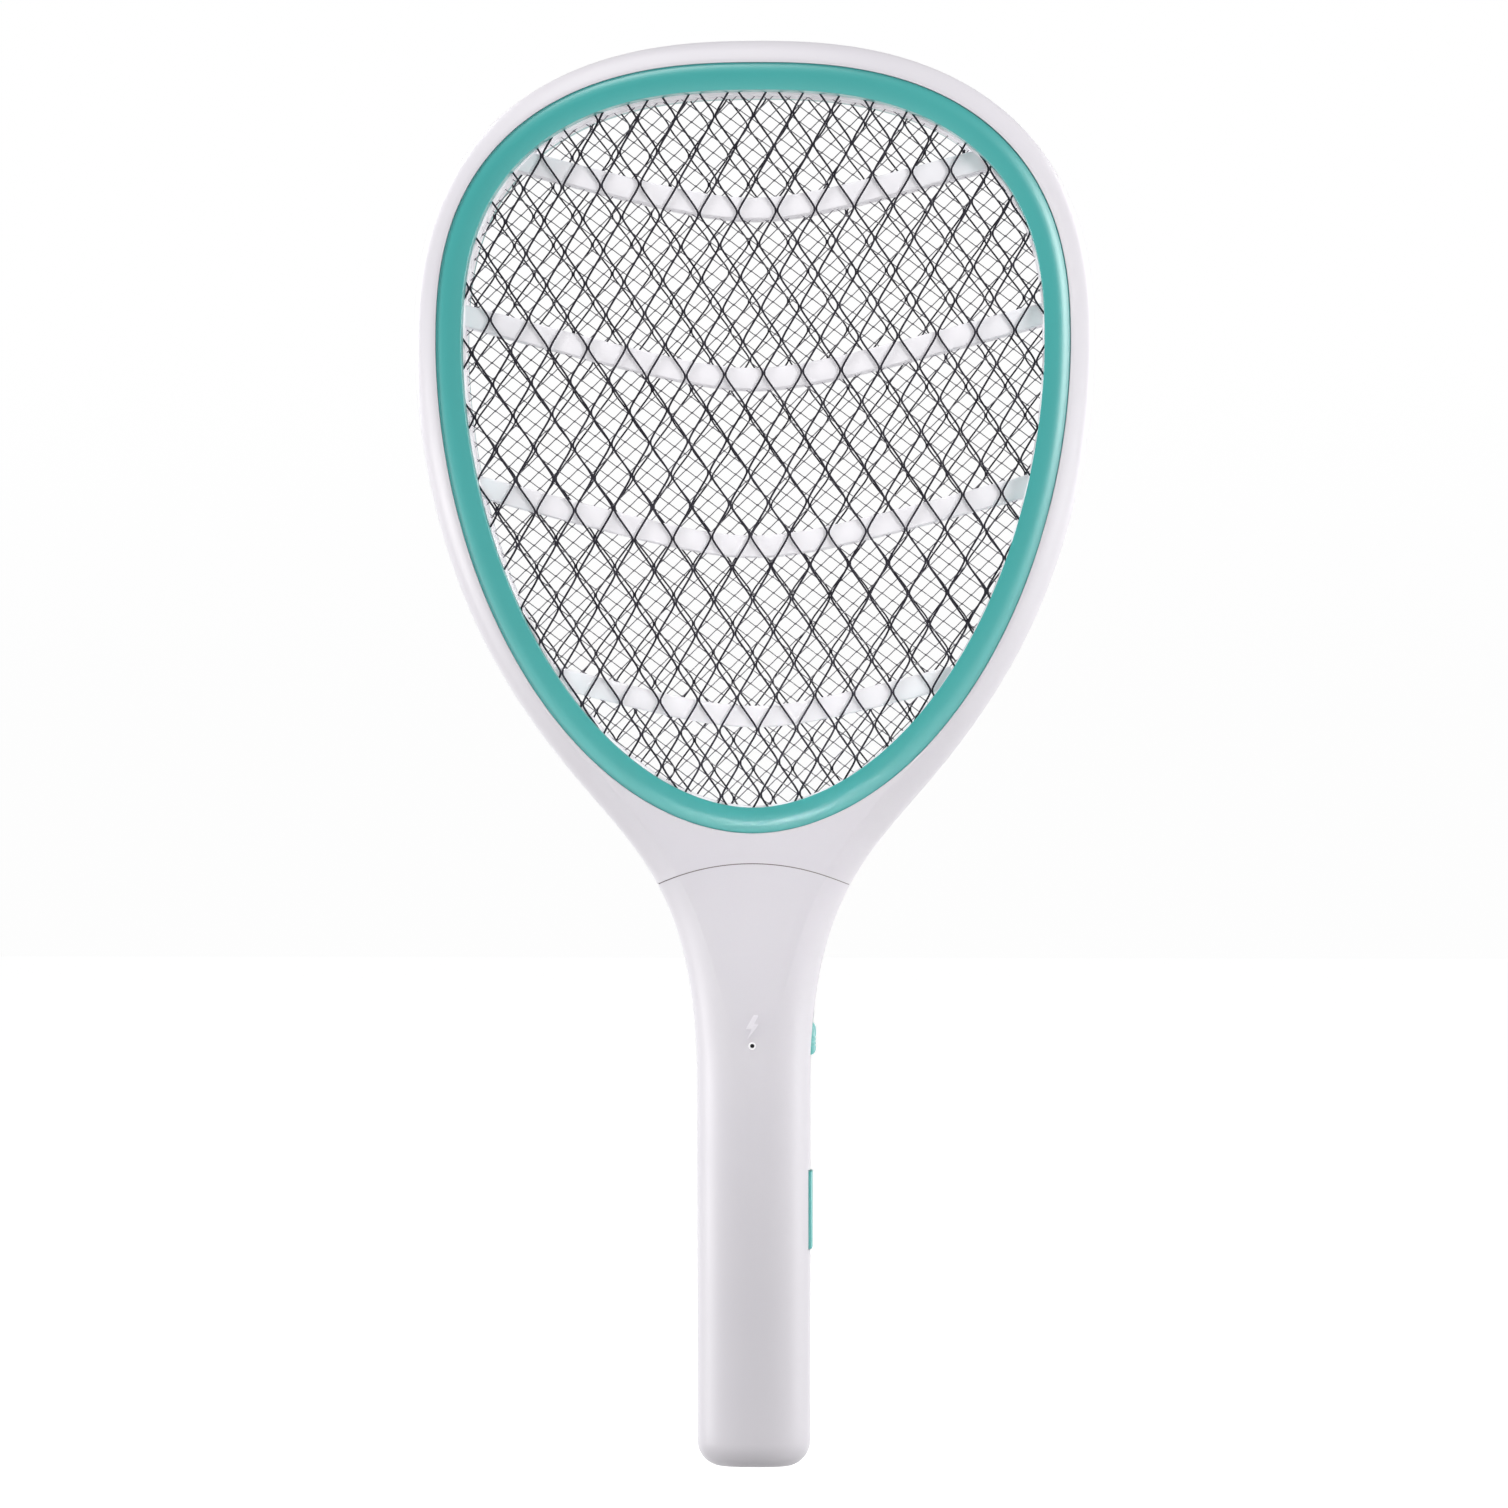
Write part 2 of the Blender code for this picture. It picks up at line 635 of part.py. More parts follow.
def push_button():
    """Push button: cap in the slot, with a flange behind the wall."""
    cap_low = (14.2 * MM, -BUTTON_HALF_DEPTH, BUTTON_SPAN[0])
    cap_high = (BUTTON_TIP, BUTTON_HALF_DEPTH, BUTTON_SPAN[1])
    button = box("push_button", cap_low, cap_high, TEAL_PLASTIC)
    flange_low = (13.4 * MM, -5.0 * MM, BUTTON_SPAN[0] - 1.2 * MM)
    flange_high = (14.5 * MM, 5.0 * MM, BUTTON_SPAN[1] + 1.2 * MM)
    join(button, box("flange", flange_low, flange_high))
    middle = (BUTTON_SPAN[0] + BUTTON_SPAN[1]) / 2
    plunger_low, plunger_high = 10.0 * MM + GAP + BUTTON_TRAVEL, 13.1 * MM
    rod("button_switch_plunger", "X", (0, 0, middle), plunger_low, plunger_high, 1.2 * MM, RED_PLASTIC)
    body_low = (4.5 * MM, PART_SEAT, middle - 3.5 * MM)
    body_high = (10.0 * MM, 4.3 * MM, middle + 3.5 * MM)
    box("button_switch_body", body_low, body_high, BLACK_PLASTIC)


def slide_switch():
    """Slide switch: ridged knob with an inner flange, its lever and the switch body."""
    middle = (KNOB_SPAN[0] + KNOB_SPAN[1]) / 2
    crown = 1.2 * MM
    loop = [
        (14.2 * MM, KNOB_SPAN[0]),
        (KNOB_TIP - crown, KNOB_SPAN[0]),
        (KNOB_TIP - 0.2 * MM, KNOB_SPAN[0] + crown),
        (KNOB_TIP, middle),
        (KNOB_TIP - 0.2 * MM, KNOB_SPAN[1] - crown),
        (KNOB_TIP - crown, KNOB_SPAN[1]),
        (14.2 * MM, KNOB_SPAN[1]),
    ]
    knob = prism("slide_switch_knob", loop, -KNOB_HALF_DEPTH, KNOB_HALF_DEPTH, TEAL_PLASTIC)
    flange_low = (13.9 * MM, -4.4 * MM, KNOB_SPAN[0] - KNOB_TRAVEL - MM)
    flange_high = (14.8 * MM, 4.4 * MM, KNOB_SPAN[1] + KNOB_TRAVEL + MM)
    join(knob, box("flange", flange_low, flange_high))
    lever_low = (11.8 * MM, -0.8 * MM, middle - 0.9 * MM)
    lever_high = (13.6 * MM, 0.8 * MM, middle + 0.9 * MM)
    box("slide_switch_lever", lever_low, lever_high, BLACK_PLASTIC)
    body_low = (7.0 * MM, PART_SEAT, middle - 5.5 * MM)
    body_high = (11.5 * MM, 2.9 * MM, middle + 5.5 * MM)
    box("slide_switch_body", body_low, body_high, LIGHT_STEEL)


# ---- electronics ----------------------------------------------------------------------


def circuit_board():
    low = (-BOARD_HALF_WIDTH, BOARD_FRONT, BOARD_SPAN[0])
    high = (BOARD_HALF_WIDTH, BOARD_REAR, BOARD_SPAN[1])
    board = box("circuit_board", low, high, BOARD_GREEN)
    x, z = HANDLE_SCREWS[0]
    cut(board, rod("boss_hole", "Y", (x, 0, z), -6 * MM, MM, 3.0 * MM))


def board_parts():
    """Parts on the rear side of the board, and the indicator LED on its front side."""
    top = 8.0 * MM
    box("high_voltage_transformer", (-8 * MM, PART_SEAT, 104 * MM), (7 * MM, top, 118 * MM), YELLOW_TAPE)
    box("storage_capacitor", (-11 * MM, PART_SEAT, 122 * MM), (-4.5 * MM, top, 143 * MM), RED_PLASTIC)
    box("doubler_capacitor", (-3 * MM, PART_SEAT, 122 * MM), (3.5 * MM, top, 143 * MM), TAN_CERAMIC)
    box("oscillator_transistor", (2.5 * MM, PART_SEAT, 95 * MM), (7.1 * MM, 2 * MM, 99 * MM), BLACK_PLASTIC)
    for index, x in enumerate((-9 * MM, -5 * MM, -1 * MM), start=1):
        place = (x, PART_SEAT + 1.35 * MM, 87 * MM)
        rod(f"rectifier_diode_{index}", "Z", place, -2.6 * MM, 2.6 * MM, 1.35 * MM, BLACK_PLASTIC, sides=10)
    for index, z in enumerate((71 * MM, 76 * MM), start=1):
        place = (-6 * MM, PART_SEAT + 1.2 * MM, z)
        rod(f"resistor_{index}", "X", place, -3.2 * MM, 3.2 * MM, 1.2 * MM, TAN_CERAMIC, sides=10)
    profile = [
        (-10.7 * MM, 0.5 * MM),
        (-10.2 * MM, 1.2 * MM),
        (-9.2 * MM, 1.5 * MM),
        (-5.0 * MM, 1.5 * MM),
        (-5.0 * MM, 1.9 * MM),
        (BOARD_FRONT - GAP, 1.9 * MM),
    ]
    turned("indicator_led", profile, "Y", (0, 0, LED_HEIGHT), LED_LENS)


def leads():
    """Leads from the board to the three nets, and from the battery plates to the board."""
    start, end = 146 * MM, TERMINAL_BOTTOM - GAP
    surface = PART_SEAT + 0.7 * MM
    nets = (
        ("front_net_lead", -SIDE_TERMINAL_X, -SAFETY_NET_MIDDLE, BLACK_PLASTIC),
        ("high_voltage_lead", 0.0, 0.0, RED_PLASTIC),
        ("rear_net_lead", SIDE_TERMINAL_X, SAFETY_NET_MIDDLE, BLACK_PLASTIC),
    )
    for name, x, y, look in nets:
        route = []
        for step in range(7):
            t = step / 6
            ease = t * t * (3 - 2 * t)
            route.append((x, surface + (y - surface) * ease, start + (end - start) * t))
        tube(name, route, 0.6 * MM, look)
    battery = (("battery_positive_lead", -1, RED_PLASTIC), ("battery_negative_lead", 1, BLACK_PLASTIC))
    for name, side, look in battery:
        bends = ((5, 3, 63.9), (4, 2, 66), (3, -0.8, 68))
        route = [(side * x * MM, y * MM, z * MM) for x, y, z in bends]
        tube(name, route, 0.6 * MM, look)


# ---- battery compartment --------------------------------------------------------------


def cell(name, x, bottom, nub_up):
    """AA cell with its nub up or down."""
    body = CELL_LENGTH - CELL_NUB_HEIGHT
    profile = [
        (0.0, CELL_RADIUS),
        (body, CELL_RADIUS),
        (body, CELL_NUB_RADIUS),
        (CELL_LENGTH, CELL_NUB_RADIUS),
    ]
    if not nub_up:
        profile = [(CELL_LENGTH - along, radius) for along, radius in reversed(profile)]
    turned(name, profile, "Z", (x, 0, bottom), CELL_SLEEVE, sides=20)


def contact_spring(name, x, bottom, wide_end_low):
    """Conical contact spring of three turns."""
    route = []
    steps = 30
    for step in range(steps + 1):
        t = step / steps
        angle = 2 * math.pi * 3 * t
        radius = (4.6 - 2.6 * t) * MM
        rise = 0.4 * MM + (SPRING_HEIGHT - 0.8 * MM) * t
        if not wide_end_low:
            rise = SPRING_HEIGHT - rise
        route.append((x + radius * math.cos(angle), radius * math.sin(angle), bottom + rise))
    tube(name, route, 0.35 * MM, SPRING_STEEL)


def battery_compartment():
    low, high = TRAY_SPAN
    wall = 1.0 * MM
    floor_rear, floor_front, wall_rear = -7.6 * MM, -8.6 * MM, 6.0 * MM
    floor_low = (-TRAY_HALF_WIDTH, floor_front, low)
    floor_high = (TRAY_HALF_WIDTH, floor_rear, high)
    tray = box("battery_tray", floor_low, floor_high, BLACK_PLASTIC)
    for z in (low, high - wall):
        corner_low = (-TRAY_HALF_WIDTH, floor_rear - 0.5 * MM, z)
        corner_high = (TRAY_HALF_WIDTH, wall_rear, z + wall)
        join(tray, box("end_wall", corner_low, corner_high))
    plate = 0.3 * MM
    jumper = low + wall + GAP
    box("jumper_plate", (-12 * MM, -4 * MM, jumper), (12 * MM, 4 * MM, jumper + plate), SPRING_STEEL)
    upper = high - wall - GAP - plate
    for name, x in (("positive_plate", -CELL_X), ("negative_plate", CELL_X)):
        box(name, (x - 4 * MM, -4 * MM, upper), (x + 4 * MM, 4 * MM, upper + plate), SPRING_STEEL)
    base = jumper + plate + GAP
    contact_spring("lower_contact_spring", -CELL_X, base, True)
    cell("battery_cell_1", -CELL_X, base + SPRING_HEIGHT + GAP, True)
    cell("battery_cell_2", CELL_X, base, False)
    contact_spring("upper_contact_spring", CELL_X, base + CELL_LENGTH + GAP, False)


# ---- assembly -------------------------------------------------------------------------


def screws():
    for index, (x, z) in enumerate(HANDLE_SCREWS, start=1):
        screw(f"handle_screw_{index}", x, z, BIG_SCREW, 4.0 * MM)
    for index, (x, z) in enumerate(THROAT_SCREWS, start=1):
        screw(f"throat_screw_{index}", x, z, BIG_SCREW, 7.0 * MM)
    for index, (x, z) in enumerate(hoop_screw_places(), start=1):
        screw(f"hoop_screw_{index}", x, z, SMALL_SCREW, 7.0 * MM)


def main():
    clear_scene()
    for word, side in (("front", -1), ("rear", 1)):
        head_frame(f"{word}_head_frame", side)
        trim_ring(f"{word}_trim_ring", side)
        rib_frame(f"{word}_rib_frame", side)
        net(f"{word}_safety_net", side * SAFETY_NET_MIDDLE, side * SIDE_TERMINAL_X, SAFETY_MESH, DARK_STEEL)
    net("high_voltage_net", 0.0, 0.0, INNER_MESH, LIGHT_STEEL)
    handle_covers()
    push_button()
    slide_switch()
    circuit_board()
    board_parts()
    leads()
    battery_compartment()
    screws()


main()
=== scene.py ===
"""Looks of the electric fly swatter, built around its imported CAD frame.

Frame: +Z along the length, +X across the head, the front faces -Y, metres.
"""
import math

import bmesh
import bpy
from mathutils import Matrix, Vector

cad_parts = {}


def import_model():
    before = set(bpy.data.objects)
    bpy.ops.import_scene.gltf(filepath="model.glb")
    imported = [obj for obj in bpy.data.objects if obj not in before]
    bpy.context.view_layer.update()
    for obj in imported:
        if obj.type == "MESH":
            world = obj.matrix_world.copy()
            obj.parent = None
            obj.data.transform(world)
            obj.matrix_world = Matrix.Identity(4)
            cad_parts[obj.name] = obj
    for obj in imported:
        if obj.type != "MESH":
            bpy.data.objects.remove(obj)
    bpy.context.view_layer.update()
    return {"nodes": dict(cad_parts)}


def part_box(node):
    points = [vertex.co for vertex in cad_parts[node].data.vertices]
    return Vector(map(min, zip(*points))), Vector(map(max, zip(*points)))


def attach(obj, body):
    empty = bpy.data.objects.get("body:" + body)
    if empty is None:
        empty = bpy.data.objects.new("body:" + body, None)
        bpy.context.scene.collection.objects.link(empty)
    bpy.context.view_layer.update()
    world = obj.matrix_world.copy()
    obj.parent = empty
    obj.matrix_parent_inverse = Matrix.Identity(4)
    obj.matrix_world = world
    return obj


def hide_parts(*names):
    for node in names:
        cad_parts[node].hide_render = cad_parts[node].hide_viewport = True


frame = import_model()

MM = 0.001
GAP = 0.3 * MM

# Head outlines about x = 0, z = HEAD_Z: half width, height above, exponent above,
# height below, exponent below. Widths and heights come from the frame's boxes.
TRIM_LOW, TRIM_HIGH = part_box("front_trim_ring")
FRAME_LOW, FRAME_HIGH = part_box("front_head_frame")
HANDLE_LOW, HANDLE_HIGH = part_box("handle_front_cover")
HEAD_Z = 347.0 * MM
FRAME_OUTLINE = (FRAME_HIGH.x, FRAME_HIGH.z - HEAD_Z, 2.43, 157.2 * MM, 1.92)
TRIM_OUTLINE = (TRIM_HIGH.x, TRIM_HIGH.z - HEAD_Z, 2.5, HEAD_Z - TRIM_LOW.z, 1.93)
OPENING_OUTLINE = (TRIM_HIGH.x - 8.0 * MM, 77.7 * MM, 2.55, 143.1 * MM, 1.9)
LOOP_POINTS = 288

# The photograph's frame and its scale
PHOTO_PIXELS = 1508
PIXEL_SIZE = 0.31 * MM

FRAME_DEPTH = -FRAME_LOW.y
TRIM_DEPTH = -TRIM_LOW.y
TRIM_BACK = -TRIM_HIGH.y
RIB_FRAME_OUTER = -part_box("front_rib_frame")[0].y
RIB_FRAME_INNER = -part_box("front_rib_frame")[1].y
SAFETY_NET_Y = 6.55 * MM

# Cross ribs: heights at x = 0 and the hyperbola that bends them upwards
RIB_HEIGHTS = (232.0 * MM, 284.6 * MM, 336.4 * MM, 389.0 * MM)
RIB_HALF_WIDTH = 3.3 * MM
RIB_SLOPE = 0.28
RIB_BEND = 21.0 * MM

# Handle
HANDLE_HALF_WIDTH = 17.5 * MM
HANDLE_DEPTH = -HANDLE_LOW.y
END_RADIUS = 8.0 * MM
WALL = 1.8 * MM
FLARE_START = 244.0 * MM
FLARE_END = 116.0 * MM
FLARE_REACHES = (62.0 * MM, 78.0 * MM)
SEAM_APEX = HANDLE_HIGH.z
KNOB_TRAVEL = 3.0 * MM
TONGUE_LOW, TONGUE_TOP = 9.0 * MM, 199.0 * MM
SEAT_GAP = 0.06 * MM
SEAM_RADIUS = 70.0 * MM
LOFT_TOP = 195.0 * MM
HEAD_LOW = 170.0 * MM
DOOR_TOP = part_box("battery_door")[1].z

# Shoulder between the outline and the front face. It starts upright at BASE_DEPTH and meets
# the face in a crease: (width, tilt at the crease, length of the curve's two handles).
BASE_DEPTH = 1.5 * MM
HEAD_SHOULDER = 7.6 * MM
THROAT_SHOULDER = (8.7 * MM, math.radians(24), 0.62, 0.6)
GRIP_SHOULDER = (15.5 * MM, math.radians(3), 0.55, 0.55)


# ---- materials ------------------------------------------------------------------------


def srgb(red, green, blue):
    """Turns an 8-bit sRGB colour into Blender's linear values."""
    values = [channel / 255 for channel in (red, green, blue)]
    linear = [v / 12.92 if v <= 0.04045 else ((v + 0.055) / 1.055) ** 2.4 for v in values]
    return (*linear, 1.0)


class Nodes:
    """Short way to build a node material around a Principled shader."""

    def __init__(self, name, roughness, metallic=0.0):
        self.material = bpy.data.materials.new(name)
        self.material.use_nodes = True
        self.tree = self.material.node_tree
        self.shader = self.tree.nodes["Principled BSDF"]
        self.shader.inputs["Roughness"].default_value = roughness
        self.shader.inputs["Metallic"].default_value = metallic
        self.place = self.tree.nodes.new("ShaderNodeTexCoord").outputs["Object"]

    def node(self, kind, **inputs):
        made = self.tree.nodes.new(kind)
        for key, value in inputs.items():
            socket = made.inputs[key.replace("_", " ")]
            if hasattr(value, "is_linked"):
                self.tree.links.new(value, socket)
            else:
                socket.default_value = value
        return made

    def link(self, output, socket):
        self.tree.links.new(output, socket)

    def noise(self, scale, detail=3.0):
        made = self.node("ShaderNodeTexNoise", Vector=self.place, Scale=scale, Detail=detail)
        return made.outputs["Fac"]

    def ramp(self, factor, stops):
        made = self.node("ShaderNodeValToRGB", Fac=factor)
        elements = made.color_ramp.elements
        while len(elements) < len(stops):
            elements.new(0.5)
        for element, (position, colour) in zip(elements, stops):
            element.position = position
            element.color = colour
        return made.outputs["Color"]

    def colour(self, output):
        self.link(output, self.shader.inputs["Base Color"])

    def vary_roughness(self, factor, low, high):
        made = self.node("ShaderNodeMapRange", Value=factor, To_Min=low, To_Max=high)
        self.link(made.outputs["Result"], self.shader.inputs["Roughness"])

    def bump(self, factor, strength, distance):
        made = self.node("ShaderNodeBump", Height=factor, Strength=strength, Distance=distance)
        self.link(made.outputs["Normal"], self.shader.inputs["Normal"])


def moulded_plastic(name, light, dark, roughness, grain=0.08, coat=0.0,
                    coat_roughness=0.12, coat_ior=1.5, painted_glow=0.0):
    """Moulded plastic: slight tone drift, fine spark-eroded grain and uneven gloss; any emission strength
    given paints a glow of the light colour on it, which is painted light.
    """
    nodes = Nodes(name, roughness)
    nodes.colour(nodes.ramp(nodes.noise(14.0), [(0.3, dark), (0.7, light)]))
    nodes.vary_roughness(nodes.noise(60.0), roughness - 0.05, roughness + 0.06)
    nodes.bump(nodes.noise(2600.0, 2.0), grain, 0.04 * MM)
    nodes.shader.inputs["Coat Weight"].default_value = coat
    nodes.shader.inputs["Coat Roughness"].default_value = coat_roughness
    nodes.shader.inputs["Coat IOR"].default_value = coat_ior
    # Emission here is painted light: with a strength above zero the plastic glows though it is no lamp.
    nodes.shader.inputs["Emission Color"].default_value = light
    nodes.shader.inputs["Emission Strength"].default_value = painted_glow
    return nodes.material


def steel(name, light, dark, roughness):
    """Drawn steel wire or sheet with darker patches and fine scratches."""
    nodes = Nodes(name, roughness, metallic=0.85)
    nodes.colour(nodes.ramp(nodes.noise(220.0), [(0.3, dark), (0.75, light)]))
    nodes.vary_roughness(nodes.noise(500.0), roughness - 0.08, roughness + 0.12)
    nodes.bump(nodes.noise(4000.0, 2.0), 0.1, 0.02 * MM)
    return nodes.material


def battery_sleeve(name):
    """Plain two-tone cell sleeve: a band of another colour at one end, by height."""
    nodes = Nodes(name, 0.3)
    split = nodes.node("ShaderNodeSeparateXYZ", Vector=nodes.place)
    band = nodes.node("ShaderNodeMapRange", Value=split.outputs["Z"], From_Min=46 * MM, From_Max=46.4 * MM)
    copper = srgb(178, 112, 62)
    nodes.colour(nodes.ramp(band.outputs["Result"], [(0.0, srgb(44, 46, 54)), (1.0, copper)]))
    nodes.bump(nodes.noise(900.0), 0.05, 0.02 * MM)
    return nodes.material


def make_materials():
    white = srgb(224, 221, 226)
    white_dark = srgb(220, 217, 223)
    teal = srgb(34, 172, 168)
    teal_dark = srgb(30, 166, 162)
    return {
        "white": moulded_plastic("white_plastic", white, white_dark, 0.42),
        # Rib plastic: a lighter colour and a painted glow, painted light that lifts the ribs out of the
        # shade behind the safety net.
        "rib": moulded_plastic("rib_plastic_painted_light", srgb(246, 244, 248), srgb(242, 240, 244), 0.45, painted_glow=0.2),
        # Bolt colour lighter than the white moulding: a painted highlight on the raised mark.
        "mark": moulded_plastic("bolt_painted_highlight", srgb(238, 235, 240), srgb(232, 229, 235), 0.4),
        # The seam band's grey-brown colour is painted shade for the gap between the head and the handle.
        "seam": moulded_plastic("painted_seam_shade", srgb(128, 118, 120), srgb(120, 110, 112), 0.7),
        "teal": moulded_plastic("teal_plastic", teal, teal_dark, 0.34, 0.03, 1.0, 0.34, 1.9),
        "dark_net": steel("dark_steel_net", srgb(70, 68, 77), srgb(43, 41, 49), 0.42),
        "fine_net": steel("bright_steel_net", srgb(150, 148, 152), srgb(104, 102, 108), 0.45),
        "plated": steel("plated_steel", srgb(205, 203, 200), srgb(170, 168, 166), 0.25),
        "board": moulded_plastic("board_green", srgb(44, 104, 62), srgb(34, 84, 52), 0.35, 0.1, 0.3),
        "black": moulded_plastic("black_plastic", srgb(40, 40, 43), srgb(30, 30, 32), 0.5),
        "can": steel("switch_can", srgb(188, 188, 190), srgb(150, 150, 152), 0.3),
        "tape": moulded_plastic("yellow_tape", srgb(212, 178, 66), srgb(196, 158, 52), 0.4),
        "red": moulded_plastic("red_plastic", srgb(182, 54, 44), srgb(160, 44, 36), 0.35),
        "tan": moulded_plastic("tan_coating", srgb(204, 166, 122), srgb(186, 148, 104), 0.45),
        "lens": moulded_plastic("led_lens", srgb(120, 34, 30), srgb(96, 26, 24), 0.12, 0.01, 0.5),
        "pin": moulded_plastic("indicator_pin", srgb(10, 10, 12), srgb(6, 6, 8), 0.85),
        "sleeve": battery_sleeve("cell_sleeve"),
    }


# ---- outlines -------------------------------------------------------------------------


def outline_loop(outline, count=LOOP_POINTS):
    """Closed loop of (x, z) points around a head outline."""
    half_width, up, up_power, down, down_power = outline
    loop = []
    for step in range(count):
        angle = 2 * math.pi * step / count
        across, along = math.cos(angle), math.sin(angle)
        height, power = (up, up_power) if along >= 0 else (down, down_power)
        x = math.copysign(half_width * abs(across) ** (2 / power), across)
        z = math.copysign(height * abs(along) ** (2 / power), along)
        loop.append((x, HEAD_Z + z))
    return loop


def outline_half_width(outline, z):
    half_width, up, up_power, down, down_power = outline
    height, power = (up, up_power) if z >= HEAD_Z else (down, down_power)
    rest = 1 - (abs(z - HEAD_Z) / height) ** power
    return half_width * max(rest, 0) ** (1 / power)


def shrunk(outline, distance):
    half_width, up, up_power, down, down_power = outline
    return (half_width - distance, up - distance, up_power, down - distance, down_power)


def flare_curve(t):
    """Point (x, z) on the curve that leads the hoop's outline into the handle's side."""
    start = Vector((outline_half_width(FRAME_OUTLINE, FLARE_START), FLARE_START))
    above = Vector((outline_half_width(FRAME_OUTLINE, FLARE_START + MM), FLARE_START + MM))
    end = Vector((HANDLE_HALF_WIDTH, FLARE_END))
    first = start + (start - above).normalized() * FLARE_REACHES[0]
    second = end + Vector((0, FLARE_REACHES[1]))
    s = 1 - t
    return start * s ** 3 + first * 3 * s * s * t + second * 3 * s * t * t + end * t ** 3


def end_rounding(z):
    """How far the handle's rounded end pulls its surface in at height z."""
    if z >= END_RADIUS:
        return 0.0
    rise = END_RADIUS - z
    return END_RADIUS - math.sqrt(END_RADIUS ** 2 - rise ** 2)


def silhouette_half_width(z):
    """Half width of the front outline at a height below the head's middle."""
    if z >= FLARE_START:
        return outline_half_width(FRAME_OUTLINE, z)
    if z > FLARE_END:
        low, high = 0.0, 1.0
        for _ in range(30):
            middle = (low + high) / 2
            if flare_curve(middle).y > z:
                low = middle
            else:
                high = middle
        return flare_curve(low).x
    return HANDLE_HALF_WIDTH - end_rounding(z)


def smooth(t):
    t = min(max(t, 0.0), 1.0)
    return t * t * (3 - 2 * t)


def blend(low, high, share):
    return tuple(a + (b - a) * share for a, b in zip(low, high))


def shoulder_curve(t, shape, depth):
    """Point on the shoulder as (distance inside the outline, depth).

    t is 0 at the outline and 1 at the crease.
    """
    width, tilt, lower_reach, upper_reach = shape
    start = Vector((0, BASE_DEPTH))
    end = Vector((width, depth))
    first = start + Vector((0, lower_reach * (depth - BASE_DEPTH)))
    second = end - Vector((math.cos(tilt), math.sin(tilt))) * upper_reach * width
    s = 1 - t
    return start * s ** 3 + first * 3 * s * s * t + second * 3 * s * t * t + end * t ** 3


def seam_height(x, lift=0.0):
    return SEAM_APEX + lift - SEAM_RADIUS + math.sqrt(SEAM_RADIUS ** 2 - x ** 2)


# ---- mesh helpers ---------------------------------------------------------------------


def new_piece(name, points, faces, material, angle=30):
    mesh = bpy.data.meshes.new(name)
    mesh.from_pydata([tuple(p) for p in points], [], faces)
    work = bmesh.new()
    work.from_mesh(mesh)
    bmesh.ops.recalc_face_normals(work, faces=work.faces)
    work.to_mesh(mesh)
    work.free()
    obj = bpy.data.objects.new(name, mesh)
    bpy.context.scene.collection.objects.link(obj)
    if material:
        mesh.materials.append(material)
    mesh.set_sharp_from_angle(angle=math.radians(angle))
    return obj


def loft(name, rows, material, closed_rows=False, angle=30):
    """Joins rows of equal length into a skin; the rows are closed loops, capped or joined in a circle."""
    count = len(rows[0])
    points = [point for row in rows for point in row]
    faces = []
    for level in range(len(rows) if closed_rows else len(rows) - 1):
        start = level * count
        following = (level + 1) % len(rows) * count
        for i in range(count):
            j = (i + 1) % count
            faces.append((start + i, start + j, following + j, following + i))
    if not closed_rows:
        faces.append(tuple(range(count)))
        faces.append(tuple(range(len(points) - count, len(points))))
    return new_piece(name, points, faces, material, angle)


def prism(name, loop, y_low, y_high, material=None):
    rows = [[(x, y, z) for x, z in loop] for y in (y_low, y_high)]
    return loft(name, rows, material)


def box_piece(name, low, high, material=None):
    loop = [(low[0], low[2]), (high[0], low[2]), (high[0], high[2]), (low[0], high[2])]
    return prism(name, loop, low[1], high[1], material)


def turned(name, profile, axis, place, material, sides=32, angle=30):
    """Solid of revolution from (distance along the axis, radius) pairs."""
    rows = []
    for along, radius in profile:
        row = []
        for side in range(sides):
            turn = 2 * math.pi * side / sides
            first, second = radius * math.cos(turn), radius * math.sin(turn)
            offset = {"X": (along, first, second), "Y": (first, along, second), "Z": (first, second, along)}
            row.append(Vector(place) + Vector(offset[axis]))
        rows.append(row)
    return loft(name, rows, material, angle=angle)


def combine(obj, others, operation):
    """Applies Booleans with the other objects and removes them."""
    for other in others:
        modifier = obj.modifiers.new("combine", "BOOLEAN")
        modifier.operation = operation
        modifier.solver = "EXACT"
        modifier.object = other
        bpy.context.view_layer.update()
        shape = obj.evaluated_get(bpy.context.evaluated_depsgraph_get())
        mesh = bpy.data.meshes.new_from_object(shape)
        obj.modifiers.clear()
        obj.data = mesh
        bpy.data.objects.remove(other, do_unlink=True)
    obj.data.set_sharp_from_angle(angle=math.radians(30))
    return obj


def cut(obj, *cutters):
    return combine(obj, cutters, "DIFFERENCE")


def join(obj, *pieces):
    return combine(obj, pieces, "UNION")


def rounded(obj, width, segments=3):
    """Bevels the sharp edges of a small piece."""
    modifier = obj.modifiers.new("round", "BEVEL")
    modifier.width = width
    modifier.segments = segments
    modifier.limit_method = "ANGLE"
    modifier.angle_limit = math.radians(35)
    bpy.context.view_layer.update()
    shape = obj.evaluated_get(bpy.context.evaluated_depsgraph_get())
    obj.data = bpy.data.meshes.new_from_object(shape)
    obj.modifiers.clear()
    obj.data.shade_smooth()
    obj.data.set_sharp_from_angle(angle=math.radians(50))
    return obj


def place(obj, body, *nodes):
    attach(obj, body)
    if nodes:
        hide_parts(*nodes)
    return obj


# ---- head -----------------------------------------------------------------------------


def frame_loop():
    """Outer loop of the head frame, carried on below the seam to HEAD_LOW, where it is cut off later."""
    right = []
    for x, z in outline_loop(FRAME_OUTLINE):
        if x > 0.1 * MM and z > FLARE_START + MM:
            right.append((x, z))
    right.sort(key=lambda point: -point[1])
    steps = 48
    for step in range(steps + 1):
        z = FLARE_START + (HEAD_LOW - FLARE_START) * step / steps
        right.append((silhouette_half_width(z), z))
    corner = right[-1][0]
    right += [(corner * (1 - step / 6), HEAD_LOW) for step in range(1, 6)]
    left = [(-x, z) for x, z in reversed(right)]
    return [(0.0, HEAD_Z + FRAME_OUTLINE[1])] + right + [(0.0, HEAD_LOW)] + left


